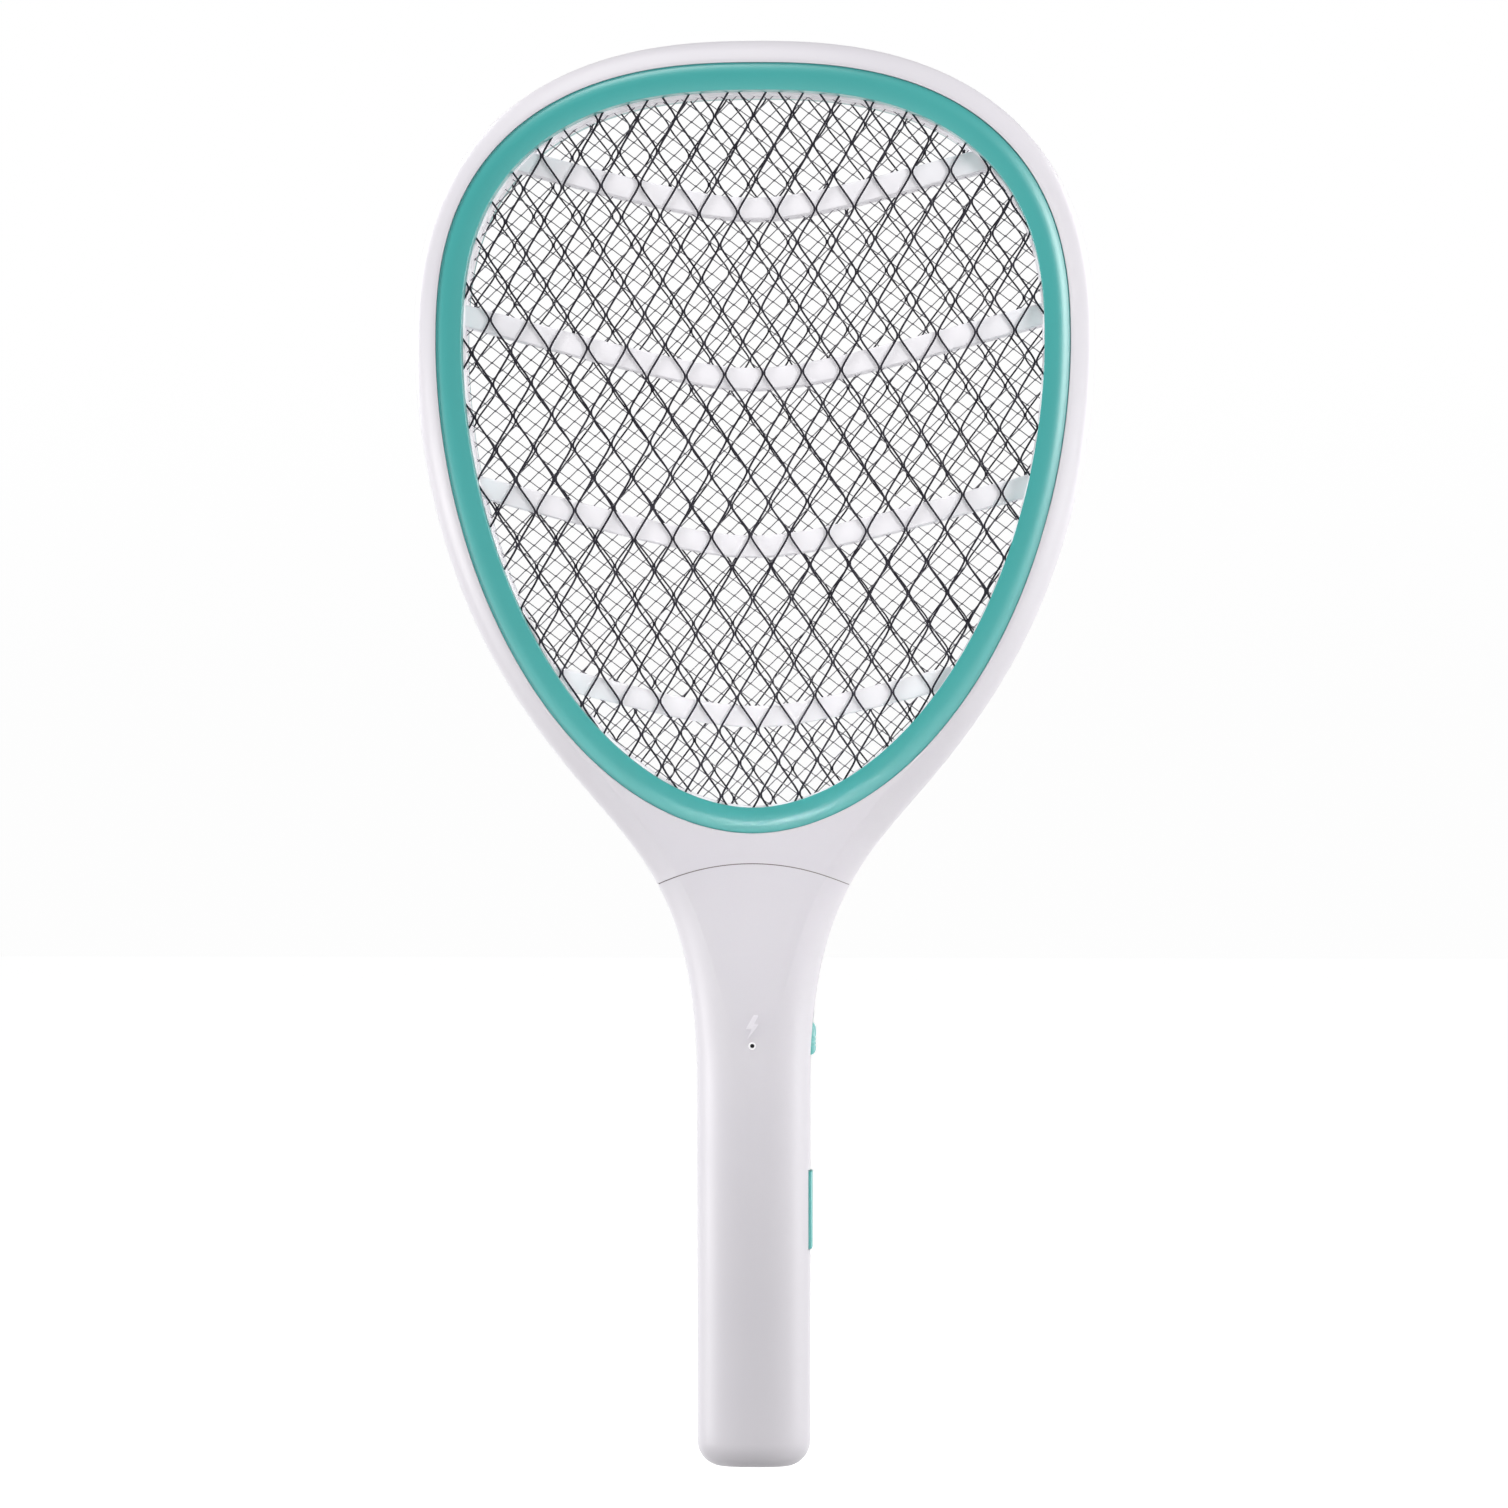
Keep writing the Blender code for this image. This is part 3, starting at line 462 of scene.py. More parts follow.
def offset_loop(loop, distance):
    """Moves each point inwards by distance, one number or a list with one for each point."""
    area = sum(a[0] * b[1] - b[0] * a[1] for a, b in zip(loop, loop[1:] + loop[:1]))
    turn = 1 if area > 0 else -1
    moved = []
    for index, point in enumerate(loop):
        before = Vector(loop[index - 1])
        after = Vector(loop[(index + 1) % len(loop)])
        along = (after - before).normalized()
        reach = distance[index] if isinstance(distance, list) else distance
        moved.append((point[0] - turn * along.y * reach, point[1] + turn * along.x * reach))
    return moved


def ring(name, section, material):
    rows = [[(x, y, z) for x, z in loop] for loop, y in section]
    return loft(name, rows, material, closed_rows=True)


def seam_block(name, lift, far):
    """Block between the arc-shaped seam, lifted by lift, and the height far."""
    reach = 45 * MM
    xs = [(-45 + 1.5 * step) * MM for step in range(61)]
    arc = [(x, seam_height(x, lift)) for x in xs]
    return prism(name, arc + [(reach, far), (-reach, far)], -30 * MM, 30 * MM)


def below_seam():
    """Block below the head's arc-shaped lower edge."""
    return seam_block("below", GAP, 100 * MM)


def screw_wells(kinds):
    """Counterbores in a rear moulding above the named screws, wider than the heads by a spare radius."""
    wells = []
    for name, spare in kinds:
        low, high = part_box(name)
        middle = ((low.x + high.x) / 2, 0, (low.z + high.z) / 2)
        radius = (high.x - low.x) / 2 + spare
        wells.append(turned("well", [(4 * MM, radius), (20 * MM, radius)], "Y", middle, None, 40))
    return wells


def shoulder_rows(outer, depth):
    """Loops of the head's shoulder, which is narrower where the trim ring leaves less room."""
    seat = outline_loop(shrunk(TRIM_OUTLINE, -GAP))
    lip = 0.35 * MM
    widths = []
    for x, z in outer:
        nearest = min(math.hypot(x - a, z - b) for a, b in seat)
        widths.append(min(HEAD_SHOULDER, nearest - lip))
    lowest = silhouette_half_width(HEAD_LOW)
    narrowing = HEAD_SHOULDER / lowest
    rows = []
    steps = 12
    for step in range(steps + 1):
        inwards, depths = [], []
        for width in widths:
            point = shoulder_curve(step / steps, (width, *THROAT_SHOULDER[1:]), depth)
            inwards.append(point.x)
            depths.append(point.y)
        moved = offset_loop(outer, inwards)
        for index, (x, z) in enumerate(outer):
            if z == HEAD_LOW:
                moved[index] = (x * (1 - narrowing * inwards[index] / HEAD_SHOULDER), z)
        rows.append([(x, y, z) for (x, z), y in zip(moved, depths)])
    return rows


def head_frame(word, side, mats):
    """Half of the hoop with its throat, rounded towards the outline."""
    outer = frame_loop()
    rows = [[(x, GAP / 2, z) for x, z in outer]] + shoulder_rows(outer, FRAME_DEPTH)
    rows = [[(x, side * y, z) for x, y, z in row] for row in rows]
    piece = loft(f"{word}_head_moulding", rows, mats["white"])
    seat = prism("seat", outline_loop(shrunk(TRIM_OUTLINE, -SEAT_GAP)), -20 * MM, 20 * MM)
    cut(piece, seat, below_seam())
    if side > 0:
        wells = [(f"throat_screw_{i}", 0.4 * MM) for i in (1, 2)]
        wells += [(f"hoop_screw_{i}", 0.3 * MM) for i in (1, 2, 3, 4)]
        cut(piece, *screw_wells(wells))
    return place(piece, "swatter_body", f"{word}_head_frame")


def trim_ring(word, side, mats):
    """Teal ring with a gently crowned face: it falls a little inwards, more outwards, with small fillets."""
    outer = outline_loop(TRIM_OUTLINE)
    inner = outline_loop(OPENING_OUTLINE)
    fillet = 0.25 * MM
    slope_width, slope_drop, land_drop = 4.0 * MM, 1.0 * MM, 0.3 * MM
    section = [(outer, TRIM_BACK)]
    for step in range(5):
        turn = math.pi / 2 * step / 4
        loop = offset_loop(outer, fillet * (1 - math.cos(turn)))
        section.append((loop, TRIM_DEPTH - slope_drop - fillet * (1 - math.sin(turn))))
    crest = offset_loop(outer, fillet + slope_width)
    lip = offset_loop(inner, -fillet)
    for step in range(1, 11):
        t = step / 10
        loop = offset_loop(outer, fillet + slope_width * t)
        section.append((loop, TRIM_DEPTH - slope_drop * (1 - t) ** 2))
    for step in range(1, 6):
        t = step / 6
        loop = [(a + (c - a) * t, b + (d - b) * t) for (a, b), (c, d) in zip(crest, lip)]
        section.append((loop, TRIM_DEPTH - land_drop * t * t))
    for step in range(5):
        turn = math.pi / 2 * step / 4
        loop = offset_loop(inner, -fillet * (1 - math.sin(turn)))
        section.append((loop, TRIM_DEPTH - land_drop - fillet * (1 - math.cos(turn))))
    section.append((inner, TRIM_BACK))
    section = [(loop, side * y) for loop, y in section]
    return place(ring(f"{word}_trim_moulding", section, mats["teal"]), "swatter_body", f"{word}_trim_ring")


def rib_centre(x, height):
    return height + RIB_SLOPE * (math.sqrt(x * x + RIB_BEND ** 2) - RIB_BEND)


def rib(height, side):
    """One U-shaped cross rib with rounded edges, run into the hoop at both ends."""
    reach = 60 * MM
    for _ in range(20):
        reach = outline_half_width(OPENING_OUTLINE, rib_centre(reach, height)) + 1.5 * MM
    near, far = side * (RIB_FRAME_INNER + 0.4 * MM), side * (RIB_FRAME_OUTER - 0.4 * MM)
    edge = 0.5 * MM
    shape = [(-RIB_HALF_WIDTH, near)]
    for step in range(5):
        turn = math.pi / 2 * step / 4
        inwards, sunk = edge * (1 - math.cos(turn)), edge * (1 - math.sin(turn))
        shape.append((-RIB_HALF_WIDTH + inwards, far - side * sunk))
    shape += [(-across, y) for across, y in reversed(shape)]
    rows = []
    steps = 48
    for step in range(steps + 1):
        x = reach * (2 * step / steps - 1)
        slope = RIB_SLOPE * x / math.sqrt(x * x + RIB_BEND ** 2)
        tilt = math.atan(slope)
        rows.append([(x - across * math.sin(tilt), y, rib_centre(x, height) + across * math.cos(tilt))
                     for across, y in shape])
    return loft("rib", rows, None)


def rib_frame(word, side, mats):
    """White hoop with four cross ribs between a safety net and the high-voltage net."""
    outer = outline_loop(TRIM_OUTLINE)
    inner = outline_loop(shrunk(OPENING_OUTLINE, 0.45 * MM))
    section = [
        (outer, side * RIB_FRAME_INNER),
        (outer, side * RIB_FRAME_OUTER),
        (offset_loop(inner, -0.5 * MM), side * RIB_FRAME_OUTER),
        (inner, side * (RIB_FRAME_OUTER - 0.5 * MM)),
        (inner, side * RIB_FRAME_INNER),
    ]
    # The rib moulding carries the rib material's painted glow.
    piece = ring(f"{word}_rib_moulding", section, mats["rib"])
    join(piece, *[rib(height, side) for height in RIB_HEIGHTS])
    return place(piece, "swatter_body", f"{word}_rib_frame")


# ---- nets -----------------------------------------------------------------------------


def wave(v, period, bond, round_share):
    """Triangle wave from +1 at v = 0 to -1 half a period on, flat over each bond, with eased corners."""
    half = period / 2
    index = math.floor(v / half + 0.5)
    sign = 1 if index % 2 == 0 else -1
    away = abs(v - index * half)
    reach = half / 2 - bond
    t = min(max((away - bond) / reach, 0.0), 1.0)
    return sign * (1 - ((1 - round_share) * t + round_share * t * t))


def expanded_net(name, node, y, pitch, strand, bond, tilt, anchor, upright, stops, material):
    """Expanded metal: zigzag strands side by side, each touching its neighbours at the bonds."""
    across_pitch, along_pitch = pitch
    width, thick = strand
    amplitude = across_pitch / 4 - width / 2
    limit = shrunk(TRIM_OUTLINE, 2.5 * MM)
    half = along_pitch / 2
    points, faces = [], []
    strands = int(310 * MM / across_pitch) + 2
    halves = int(160 * MM / half) + 2

    def spot(u, v):
        flat = (u, v) if upright else (v, u)
        x = anchor[0] + flat[0] * math.cos(tilt) - flat[1] * math.sin(tilt)
        z = anchor[1] + flat[0] * math.sin(tilt) + flat[1] * math.cos(tilt)
        return x, z

    for k in range(-strands, strands):
        sign = 1 if k % 2 == 0 else -1
        middle = (k + 0.5) * across_pitch / 2
        run = []
        for h in range(-halves, halves):
            for stop in stops:
                v = (h + stop) * half
                u = middle + sign * amplitude * wave(v, along_pitch, bond, 0.2)
                x, z = spot(u, v)
                if abs(x) < outline_half_width(limit, z):
                    run.append((u, v))
        if len(run) < 4:
            continue
        first = len(points)
        for index, (u, v) in enumerate(run):
            u0, v0 = run[max(index - 1, 0)]
            u1, v1 = run[min(index + 1, len(run) - 1)]
            along = Vector((u1 - u0, v1 - v0)).normalized()
            stretch = min(1 / max(abs(along.y), 0.3), 1.6)
            for offset, depth in ((-1, -1), (1, -1), (1, 1), (-1, 1)):
                x, z = spot(u + offset * width / 2 * stretch, v)
                points.append((x, y + depth * thick / 2, z))
        for index in range(len(run) - 1):
            start = first + 4 * index
            for i in range(4):
                j = (i + 1) % 4
                faces.append((start + i, start + j, start + 4 + j, start + 4 + i))
        faces.append((first + 3, first + 2, first + 1, first))
        last = first + 4 * (len(run) - 1)
        faces.append((last, last + 1, last + 2, last + 3))
    mesh = bpy.data.meshes.new(name)
    mesh.from_pydata(points, [], faces)
    mesh.materials.append(material)
    obj = bpy.data.objects.new(name, mesh)
    bpy.context.scene.collection.objects.link(obj)
    return place(obj, "swatter_body", node)


def net_rim(name, y, thick, material):
    """Flat edge strip of a net, clamped under the trim ring."""
    outer = outline_loop(shrunk(TRIM_OUTLINE, 1.5 * MM))
    inner = outline_loop(shrunk(TRIM_OUTLINE, 4.0 * MM))
    low, high = y - thick / 2, y + thick / 2
    section = [(outer, low), (outer, high), (inner, high), (inner, low)]
    return place(ring(name, section, material), "swatter_body")


def nets(mats):
    coarse_stops = (0.0, 0.06, 0.14, 0.24, 0.5, 0.76, 0.86, 0.94)
    fine_stops = (0.0, 0.1, 0.5, 0.9)
    bold = (0.6 * MM, 0.5 * MM)
    coarse = (0.5 * MM, 0.5 * MM)
    fine = (0.3 * MM, 0.3 * MM)
    expanded_net("front_net_mesh", "front_safety_net", -SAFETY_NET_Y, (12.0 * MM, 20.0 * MM), bold, 0.5 * MM,
                 math.radians(2.2), (9.2 * MM, 338.2 * MM), True, coarse_stops, mats["dark_net"])
    expanded_net("rear_net_mesh", "rear_safety_net", SAFETY_NET_Y, (12.2 * MM, 18.2 * MM), coarse, 0.6 * MM,
                 math.radians(0.5), (-1.5 * MM, 334.0 * MM), True, coarse_stops, mats["dark_net"])
    expanded_net("fine_net_mesh", "high_voltage_net", 0.0, (5.0 * MM, 6.1 * MM), fine, 0.25 * MM,
                 math.radians(4.0), (-2.9 * MM, 354.9 * MM), False, fine_stops, mats["fine_net"])
    net_rim("front_net_rim", -SAFETY_NET_Y, 0.4 * MM, mats["dark_net"])
    net_rim("rear_net_rim", SAFETY_NET_Y, 0.4 * MM, mats["dark_net"])
    net_rim("fine_net_rim", 0.0, 0.3 * MM, mats["fine_net"])


# ---- handle ---------------------------------------------------------------------------


def half_section(z, side, inset):
    """Open half section of the handle at height z, from the +X edge over the face to the -X edge."""
    half_width = silhouette_half_width(z) - inset
    flush = (HANDLE_DEPTH - FRAME_DEPTH) * smooth((z - 130 * MM) / (50 * MM))
    depth = HANDLE_DEPTH - flush - end_rounding(z) - inset
    shape = blend(GRIP_SHOULDER, THROAT_SHOULDER, smooth((z - 105 * MM) / (60 * MM)))
    shape = (min(shape[0], 0.9 * half_width), *shape[1:])
    steps = 20
    right = [(half_width, GAP / 2)]
    for step in range(steps + 1):
        inwards, y = shoulder_curve(step / steps, shape, depth)
        right.append((half_width - inwards, y))
    flat = right[-1][0]
    right += [(flat * share, depth) for share in (0.75, 0.5, 0.25)]
    left = [(-x, y) for x, y in reversed(right)]
    return [(x, side * y) for x, y in right + [(0.0, depth)] + left]


def body_rows(heights, side, inset, overshoot):
    """Rows of a lofted half of the handle, carried past the parting plane by overshoot."""
    rows = []
    for height in heights:
        row = [(x, y, height) for x, y in half_section(max(height, 0), side, inset)]
        if overshoot:
            row = [(row[0][0], -side * overshoot, height)] + row + [(row[-1][0], -side * overshoot, height)]
        rows.append(row)
    return rows


def heights_between(low, high):
    """Heights of the loft's rows, closer together where the surface curves."""
    levels = [low]
    fine = [0.15, 0.4, 0.8, 1.3, 2.0, 2.8, 3.8, 5.0, 6.4, 8.0]
    levels += [value * MM for value in fine if low + 0.05 * MM < value * MM < high - 0.05 * MM]
    z = max(12 * MM, low + 4 * MM)
    while z < high - 2 * MM:
        levels.append(z)
        z += 4 * MM if z > 95 * MM else 12 * MM
    return levels + [high]


def above_seam():
    """Block above the arc-shaped upper edge of the handle."""
    return seam_block("above", 0.0, 240 * MM)


def handle_shell(name, side, low, high, end_wall, material):
    """Hollow half of the handle from low to high, with or without a closed lower end."""
    shell = loft(name, body_rows(heights_between(low, high), side, 0.0, 0.0), material)
    floor = low + WALL if end_wall else low - MM
    cavity = loft("cavity", body_rows(heights_between(floor, high + 2 * MM), side, WALL, MM), None)
    return cut(shell, cavity)


def slots():
    """Slots in the +X side for the push button and the slide knob."""
    made = []
    for node, spare_top in (("push_button", 0.0), ("slide_switch_knob", KNOB_TRAVEL)):
        low, high = control_box(node)
        corner = (13.5 * MM, low.y - GAP, low.z - GAP)
        opposite = (25 * MM, high.y + GAP, high.z + spare_top + GAP)
        made.append(box_piece("slot", corner, opposite))
    return made


def control_box(node):
    """Box of a control's visible cap: its CAD box without the flange behind the wall."""
    low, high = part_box(node)
    trims = {"push_button": (1.0 * MM, 1.2 * MM), "slide_switch_knob": (1.8 * MM, 4.0 * MM)}
    across, along = trims[node]
    return Vector((low.x, low.y + across, low.z + along)), Vector((high.x, high.y - across, high.z - along))


def handle(mats):
    front = handle_shell("front_cover_moulding", -1, 0.0, LOFT_TOP, True, mats["white"])
    rear = handle_shell("rear_cover_moulding", 1, DOOR_TOP + GAP, LOFT_TOP, False, mats["white"])
    door = handle_shell("door_moulding", 1, 0.0, DOOR_TOP, True, mats["white"])
    for cover in (front, rear):
        cut(cover, above_seam(), *slots())
    led_low, led_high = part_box("indicator_led")
    led_z = (led_low.z + led_high.z) / 2
    hole = [(-16 * MM, 0.65 * MM), (-9 * MM, 0.65 * MM)]
    cut(front, turned("led_hole", hole, "Y", (0, 0, led_z), None, 32))
    cut(rear, *screw_wells([(f"handle_screw_{i}", 0.4 * MM) for i in (1, 2, 3)]))
    place(front, "swatter_body", "handle_front_cover")
    place(rear, "swatter_body", "handle_rear_cover")
    ridges = []
    for index in range(6):
        z = 14 * MM + index * 3 * MM
        low, high = (-7 * MM, HANDLE_DEPTH - 0.6 * MM, z), (7 * MM, HANDLE_DEPTH + 0.35 * MM, z + 1.1 * MM)
        ridges.append(rounded(box_piece("ridge", low, high), 0.3 * MM, 2))
    join(door, *ridges)
    place(door, "battery_door", "battery_door")
    pin_depth = HANDLE_DEPTH - 0.45 * MM
    pin = [(-pin_depth, 0.25 * MM), (-pin_depth + 0.12 * MM, 0.5 * MM),
           (-pin_depth + 0.4 * MM, 0.62 * MM), (-10.8 * MM, 0.62 * MM)]
    place(turned("indicator_pin", pin, "Y", (0, 0, led_z), mats["pin"]), "swatter_body")
    halo = [(-HANDLE_DEPTH - 0.02 * MM, 0.72 * MM), (-HANDLE_DEPTH - 0.02 * MM, 1.15 * MM),
            (-HANDLE_DEPTH + 0.3 * MM, 1.3 * MM), (-HANDLE_DEPTH + 0.3 * MM, 0.72 * MM)]
    turns = [math.tau * i / 40 for i in range(40)]
    rows = [[(radius * math.cos(turn), along, led_z + radius * math.sin(turn)) for turn in turns]
            for along, radius in halo]
    # The collar takes the rib material and so shares its painted glow.
    place(loft("indicator_collar", rows, mats["rib"], closed_rows=True), "swatter_body")
    bolt(led_z + 5.7 * MM, mats)
    parting_tongue(mats)
    seam_gap_shade_band(-1, mats)
    seam_gap_shade_band(1, mats)


def parting_tongue(mats):
    """Tongue of the front cover behind the parting line, so that nobody sees through the gap."""
    reach, thick, inside = 1.4 * MM, 0.6 * MM, WALL + 0.05 * MM
    button_low, button_high = control_box("push_button")
    knob_low, knob_high = control_box("slide_switch_knob")
    runs = [(-1, TONGUE_LOW, TONGUE_TOP), (1, TONGUE_LOW, button_low.z - GAP),
            (1, button_high.z + GAP, knob_low.z - GAP),
            (1, knob_high.z + KNOB_TRAVEL + GAP, TONGUE_TOP)]
    for index, (hand, low, high) in enumerate(runs):
        rows = []
        for step in range(31):
            z = low + (high - low) * step / 30
            edge = silhouette_half_width(z) - inside
            rows.append([(hand * x, y, z) for x, y in
                         ((edge, -reach), (edge, reach), (edge - thick, reach), (edge - thick, -reach))])
        place(loft(f"parting_tongue_{index + 1}", rows, mats["white"]), "swatter_body")
    end_reach = 12.2 * MM
    corner, opposite = (-end_reach, -reach, inside), (end_reach, reach, inside + thick)
    end = box_piece("parting_tongue_end", corner, opposite, mats["white"])
    place(end, "swatter_body")


def seam_gap_shade_band(side, mats):
    """Narrow dark band behind the arc-shaped seam between the head and the handle: painted shade that stands
    in for the shadow in the gap.
    """
    low, high = HEAD_LOW - 4 * MM, LOFT_TOP
    collar = loft("seam_gap_shade_band", body_rows(heights_between(low, high), side, 0.35 * MM, 0.0), mats["seam"])
    core = body_rows(heights_between(low - MM, high + MM), side, WALL - 0.2 * MM, MM)
    cut(collar, loft("core", core, None))
    for lift, far in ((-0.7 * MM, 140 * MM), (0.9 * MM, 240 * MM)):
        cut(collar, seam_block("trim", lift, far))
    collar.name = "front_seam_gap_shade_band" if side < 0 else "rear_seam_gap_shade_band"
    place(collar, "swatter_body")


def bolt(middle, mats):
    """Small raised lightning bolt above the indicator, coloured lighter than the moulding around it as a
    painted highlight.
    """
    shape = [(1.9, 3.7), (0.4, 3.7), (-1.9, -0.5), (-0.2, -0.5), (-1.5, -3.7), (2.0, 0.9), (0.5, 0.9)]
    loop = [(x * MM, middle + z * MM) for x, z in shape]
    piece = prism("raised_bolt", loop, -HANDLE_DEPTH - 0.7 * MM, -HANDLE_DEPTH + 0.2 * MM, mats["mark"])
    place(rounded(piece, 0.22 * MM, 2), "swatter_body")


def controls(mats):
    low, high = control_box("push_button")
    cap = box_piece("cap", (14 * MM, low.y, low.z), (high.x, high.y, high.z), mats["teal"])
    cap.name = "push_button_cap"
    rounded(cap, 0.6 * MM, 4)
    place(cap, "push_button", "push_button")
    low, high = control_box("slide_switch_knob")
    rows = []
    steps = 72
    for step in range(steps + 1):
        t = step / steps
        ends = max(1 - abs(2 * t - 1) ** 6, 0.0) ** 0.5
        groove = sum(math.exp(-((t - spot) / 0.022) ** 2) for spot in (0.3, 0.42, 0.54))
        tip = high.x - 2.2 * MM * (1 - ends) - 0.22 * MM * groove
        half = high.y * (1 - 0.14 * smooth((t - 0.5) / 0.4)) * (0.85 + 0.15 * ends)
        row = [(14 * MM, half, low.z + (high.z - low.z) * t)]
        for turn in range(17):
            angle = math.pi / 2 - math.pi * turn / 16
            across, out = math.sin(angle), max(math.cos(angle), 0.0)
            y = math.copysign(abs(across) ** 0.6, across) * half
            row.append((15.5 * MM + (tip - 15.5 * MM) * out ** 0.5, y, row[0][2]))
        row.append((14 * MM, -half, row[0][2]))
        rows.append(row)
    place(loft("slide_knob_cap", rows, mats["teal"]), "slide_switch", "slide_switch_knob")
    flanges = (("push_button", "push_button", 1.1 * MM), ("slide_switch_knob", "slide_switch", 0.9 * MM))
    for node, body, depth in flanges:
        low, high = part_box(node)
        flange = box_piece(f"{node}_flange", low, (low.x + depth, high.y, high.z), mats["teal"])
        place(rounded(flange, 0.2 * MM, 2), body)


# ---- screws, battery compartment and carried-over nodes ---------------------------------


def screws(mats):
    """Pan-head screws with cross recesses, one for each CAD screw."""
    names = [f"handle_screw_{i}" for i in (1, 2, 3)] + [f"throat_screw_{i}" for i in (1, 2)]
    names += [f"hoop_screw_{i}" for i in (1, 2, 3, 4)]
    for name in names:
        low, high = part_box(name)
        radius = (high.x - low.x) / 2
        middle = ((low.x + high.x) / 2, 0, (low.z + high.z) / 2)
        top = high.y
        profile = [(low.y, 0.15 * MM), (low.y + 1.2 * MM, radius * 0.45), (top - 1.6 * MM, radius * 0.45),
                   (top - 1.6 * MM, radius * 0.96), (top - 1.4 * MM, radius), (top - 0.9 * MM, radius),
                   (top - 0.4 * MM, radius * 0.86), (top - 0.1 * MM, radius * 0.55), (top, radius * 0.2)]
        piece = turned(f"{name}_detail", profile, "Y", middle, mats["plated"])
        arm, blade = radius * 0.58, radius * 0.16
        for dx, dz in ((arm, blade), (blade, arm)):
            corner = (middle[0] - dx, top - 0.9 * MM, middle[2] - dz)
            opposite = (middle[0] + dx, top + MM, middle[2] + dz)
            cut(piece, box_piece("slot", corner, opposite))
        place(piece, "swatter_body", name)


def cells(mats):
    """Battery cells with rounded crimps, a bare nub and a sleeve."""
    for index, nub_up in ((1, True), (2, False)):
        low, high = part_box(f"battery_cell_{index}")
        radius = (high.x - low.x) / 2
        middle = ((low.x + high.x) / 2, 0, 0)
        length = high.z - low.z
        body = length - 1.2 * MM
        profile = [(0.0, radius * 0.6), (0.0, radius - 0.9 * MM), (0.25 * MM, radius - 0.3 * MM),
                   (0.6 * MM, radius), (body - 0.6 * MM, radius),
                   (body - 0.2 * MM, radius - 0.3 * MM), (body, radius - 0.9 * MM),
                   (body - 0.2 * MM, 3.2 * MM), (body - 0.1 * MM, 2.8 * MM), (length - 0.2 * MM, 2.7 * MM),
                   (length, 2.4 * MM)]
        if nub_up:
            profile = [(low.z + along, r) for along, r in profile]
        else:
            profile = [(high.z - along, r) for along, r in reversed(profile)]
        piece = turned(f"battery_cell_{index}_detail", profile, "Z", middle, mats["sleeve"], 48)
        place(piece, "swatter_body", f"battery_cell_{index}")


CARRIED = {
    "board": ("circuit_board",),
    "black": ("battery_tray", "button_switch_body", "slide_switch_lever", "oscillator_transistor",
              "rectifier_diode_1", "rectifier_diode_2", "rectifier_diode_3", "front_net_lead",
              "rear_net_lead", "battery_negative_lead"),
    "can": ("slide_switch_body",),
    "tape": ("high_voltage_transformer",),
    "red": ("storage_capacitor", "button_switch_plunger", "high_voltage_lead", "battery_positive_lead"),
    "tan": ("doubler_capacitor", "resistor_1", "resistor_2"),
    "lens": ("indicator_led",),
    "plated": ("lower_contact_spring", "upper_contact_spring", "jumper_plate", "positive_plate",
               "negative_plate"),
}


def carried_nodes(mats):
    for key, names in CARRIED.items():
        for name in names:
            node = frame["nodes"][name]
            for slot in node.material_slots:
                slot.material = mats[key]


# ---- stage ----------------------------------------------------------------------------


def floor():
    size = 6.0
    mesh = bpy.data.meshes.new("floor")
    level = -80 * MM  # clear of the battery door, which slides 70 mm below the handle
    corners = [(-size, -size, level), (size, -size, level), (size, size, level), (-size, size, level)]
    mesh.from_pydata(corners, [], [(0, 1, 2, 3)])
    nodes = Nodes("floor_paper", 0.9)
    nodes.colour(nodes.ramp(nodes.noise(3.0), [(0.0, (0.33, 0.33, 0.33, 1)), (1.0, (0.35, 0.35, 0.35, 1))]))
    nodes.shader.inputs["Emission Color"].default_value = (1, 1, 1, 1)
    nodes.shader.inputs["Emission Strength"].default_value = 0.88
    mesh.materials.append(nodes.material)
    obj = bpy.data.objects.new("floor", mesh)
    bpy.context.scene.collection.objects.link(obj)
    obj.visible_diffuse = False


def area_light(name, place_at, target, width, height, power, spread=math.pi):
    data = bpy.data.lights.new(name, "AREA")
    data.spread = spread
    data.shape = "RECTANGLE"
    data.size = width
    data.size_y = height
    data.energy = power
    obj = bpy.data.objects.new(name, data)
    obj.location = place_at
    obj.rotation_euler = (Vector(target) - Vector(place_at)).to_track_quat("-Z", "Y").to_euler()
    obj.visible_camera = False
    bpy.context.scene.collection.objects.link(obj)


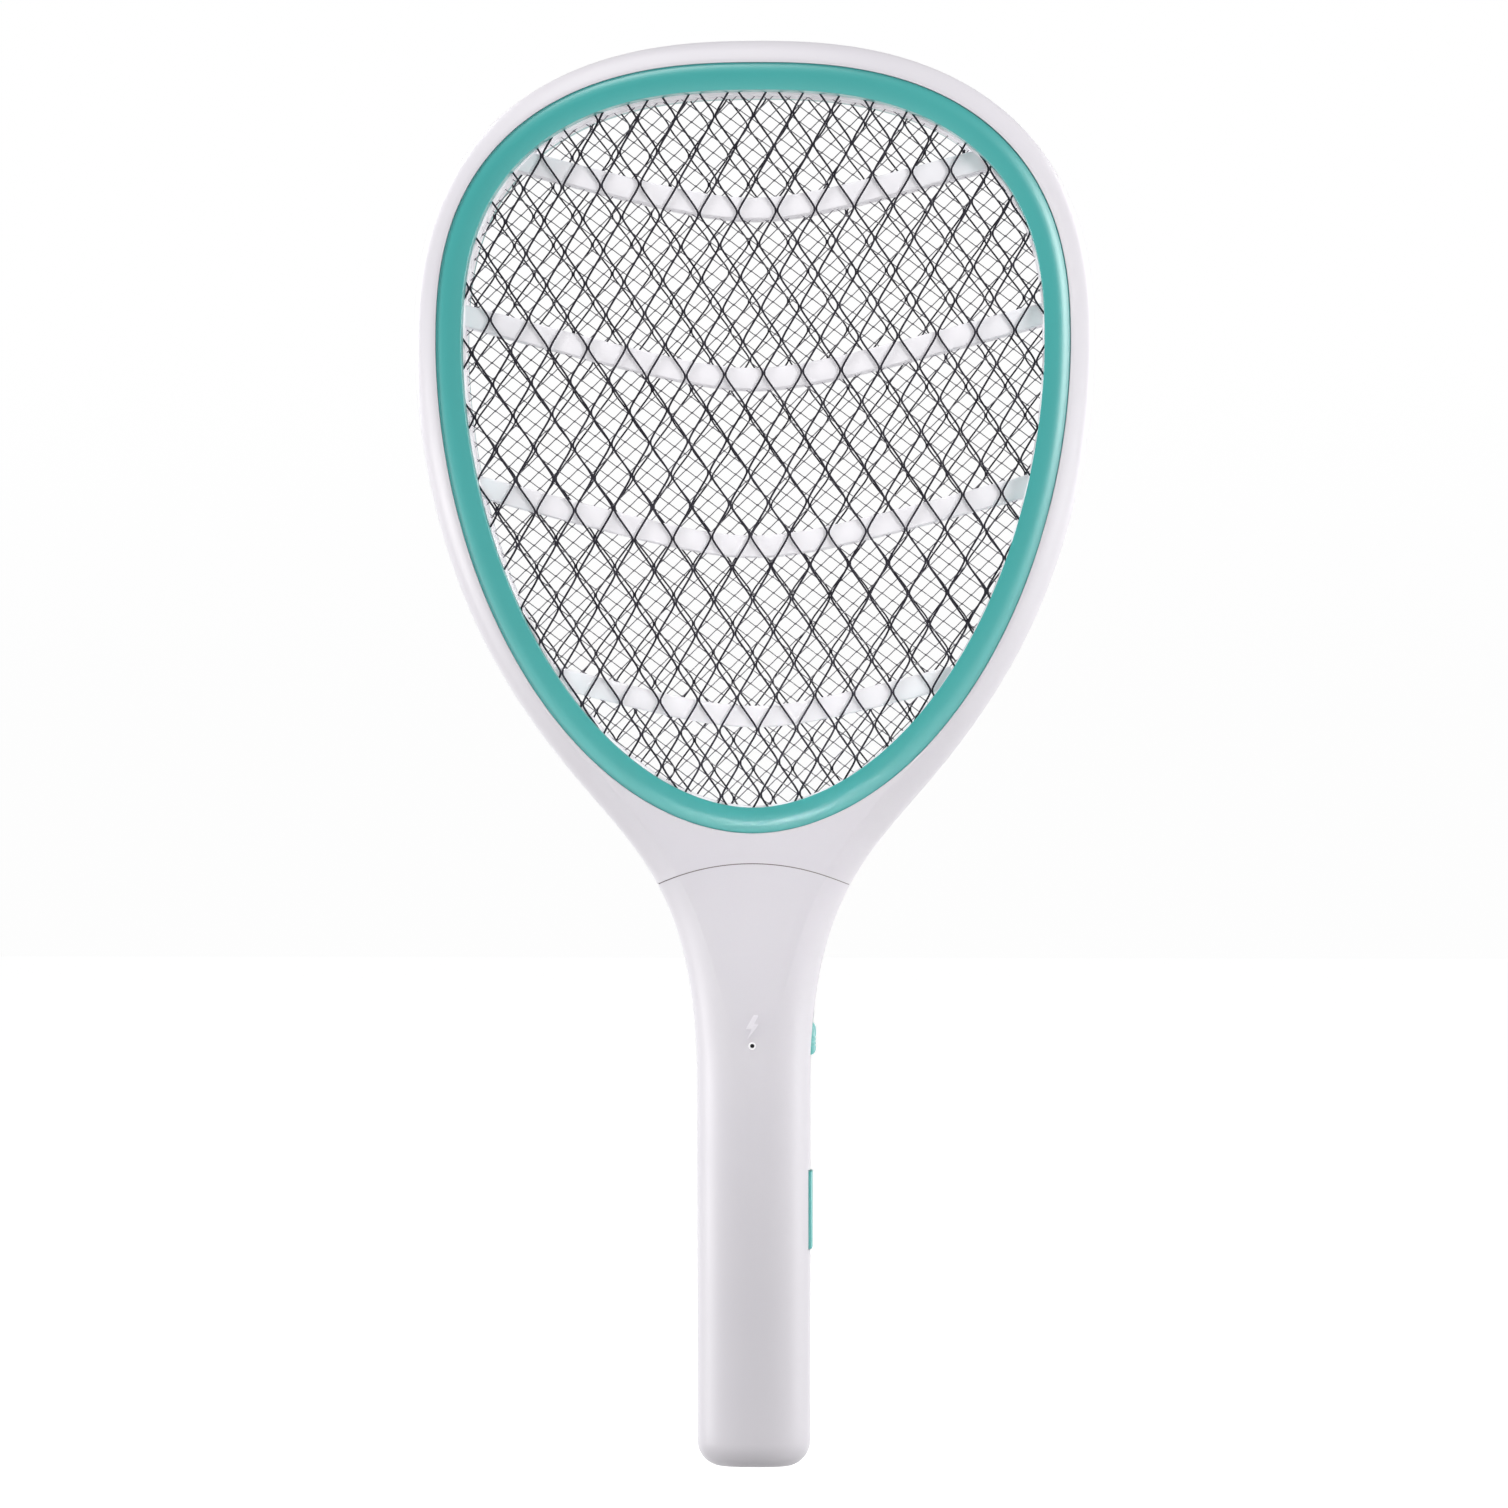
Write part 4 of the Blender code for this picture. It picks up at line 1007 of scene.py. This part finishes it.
def world():
    """Seen by the camera: white that meets the floor's tone at the horizon. For the light: softer."""
    made = bpy.data.worlds.new("studio")
    bpy.context.scene.world = made
    made.use_nodes = True
    tree = made.node_tree
    light = tree.nodes["Background"]
    light.inputs["Color"].default_value = (1, 0.99, 1, 1)
    light.inputs["Strength"].default_value = 0.31
    direction = tree.nodes.new("ShaderNodeTexCoord")
    split = tree.nodes.new("ShaderNodeSeparateXYZ")
    tree.links.new(direction.outputs["Generated"], split.inputs[0])
    height = tree.nodes.new("ShaderNodeMapRange")
    height.interpolation_type = "SMOOTHSTEP"
    height.inputs["From Max"].default_value = 0.09
    height.inputs["To Min"].default_value = 0.985
    tree.links.new(split.outputs["Z"], height.inputs["Value"])
    seen = tree.nodes.new("ShaderNodeBackground")
    seen.inputs["Color"].default_value = (1, 1, 1, 1)
    tree.links.new(height.outputs["Result"], seen.inputs["Strength"])
    mix = tree.nodes.new("ShaderNodeMixShader")
    path = tree.nodes.new("ShaderNodeLightPath")
    tree.links.new(path.outputs["Is Camera Ray"], mix.inputs[0])
    tree.links.new(light.outputs[0], mix.inputs[1])
    tree.links.new(seen.outputs[0], mix.inputs[2])
    tree.links.new(mix.outputs[0], tree.nodes["World Output"].inputs["Surface"])


def stage():
    floor()
    world()
    area_light("left_softbox", (-1.15, -0.24, 0.06), (0, 0, 0.15), 0.5, 0.5, 11.0)
    area_light("right_softbox", (1.15, -0.22, 0.08), (0, 0, 0.15), 0.5, 0.5, 6.4)
    area_light("right_window", (0.80, -0.90, 0.56), (0.1, 0, 0.36), 0.35, 0.60, 5.4)
    area_light("top_key", (-0.30, -0.35, 1.4), (0, 0, 0.3), 0.8, 0.8, 7.8)
    area_light("low_kicker", (0.02, -0.5, 0.03), (0, 0, 0.2), 0.05, 0.03, 0.01, math.radians(30))
    area_light("back_left", (-0.95, 0.95, 0.75), (0, 0, 0.22), 0.7, 0.7, 9.0)
    area_light("back_right", (0.95, 0.95, 0.55), (0, 0, 0.22), 0.7, 0.7, 7.0)


def camera():
    """Near-frontal view, slightly from the +X side, level with the middle of the swatter."""
    distance = 1.6
    azimuth = math.radians(2.5)
    target = Vector((0.0, 0.0, 220.4 * MM))
    data = bpy.data.cameras.new("camera")
    data.sensor_width = 36
    data.lens = data.sensor_width * distance / (PHOTO_PIXELS * PIXEL_SIZE)
    obj = bpy.data.objects.new("camera", data)
    obj.location = target + Vector((distance * math.sin(azimuth), -distance * math.cos(azimuth), 0))
    obj.rotation_euler = (target - obj.location).to_track_quat("-Z", "Y").to_euler()
    bpy.context.scene.collection.objects.link(obj)
    bpy.context.scene.camera = obj


def main():
    mats = make_materials()
    for word, side in (("front", -1), ("rear", 1)):
        head_frame(word, side, mats)
        trim_ring(word, side, mats)
        rib_frame(word, side, mats)
    nets(mats)
    handle(mats)
    controls(mats)
    screws(mats)
    cells(mats)
    carried_nodes(mats)
    stage()
    camera()
    bpy.context.scene.view_settings.view_transform = "Standard"


main()
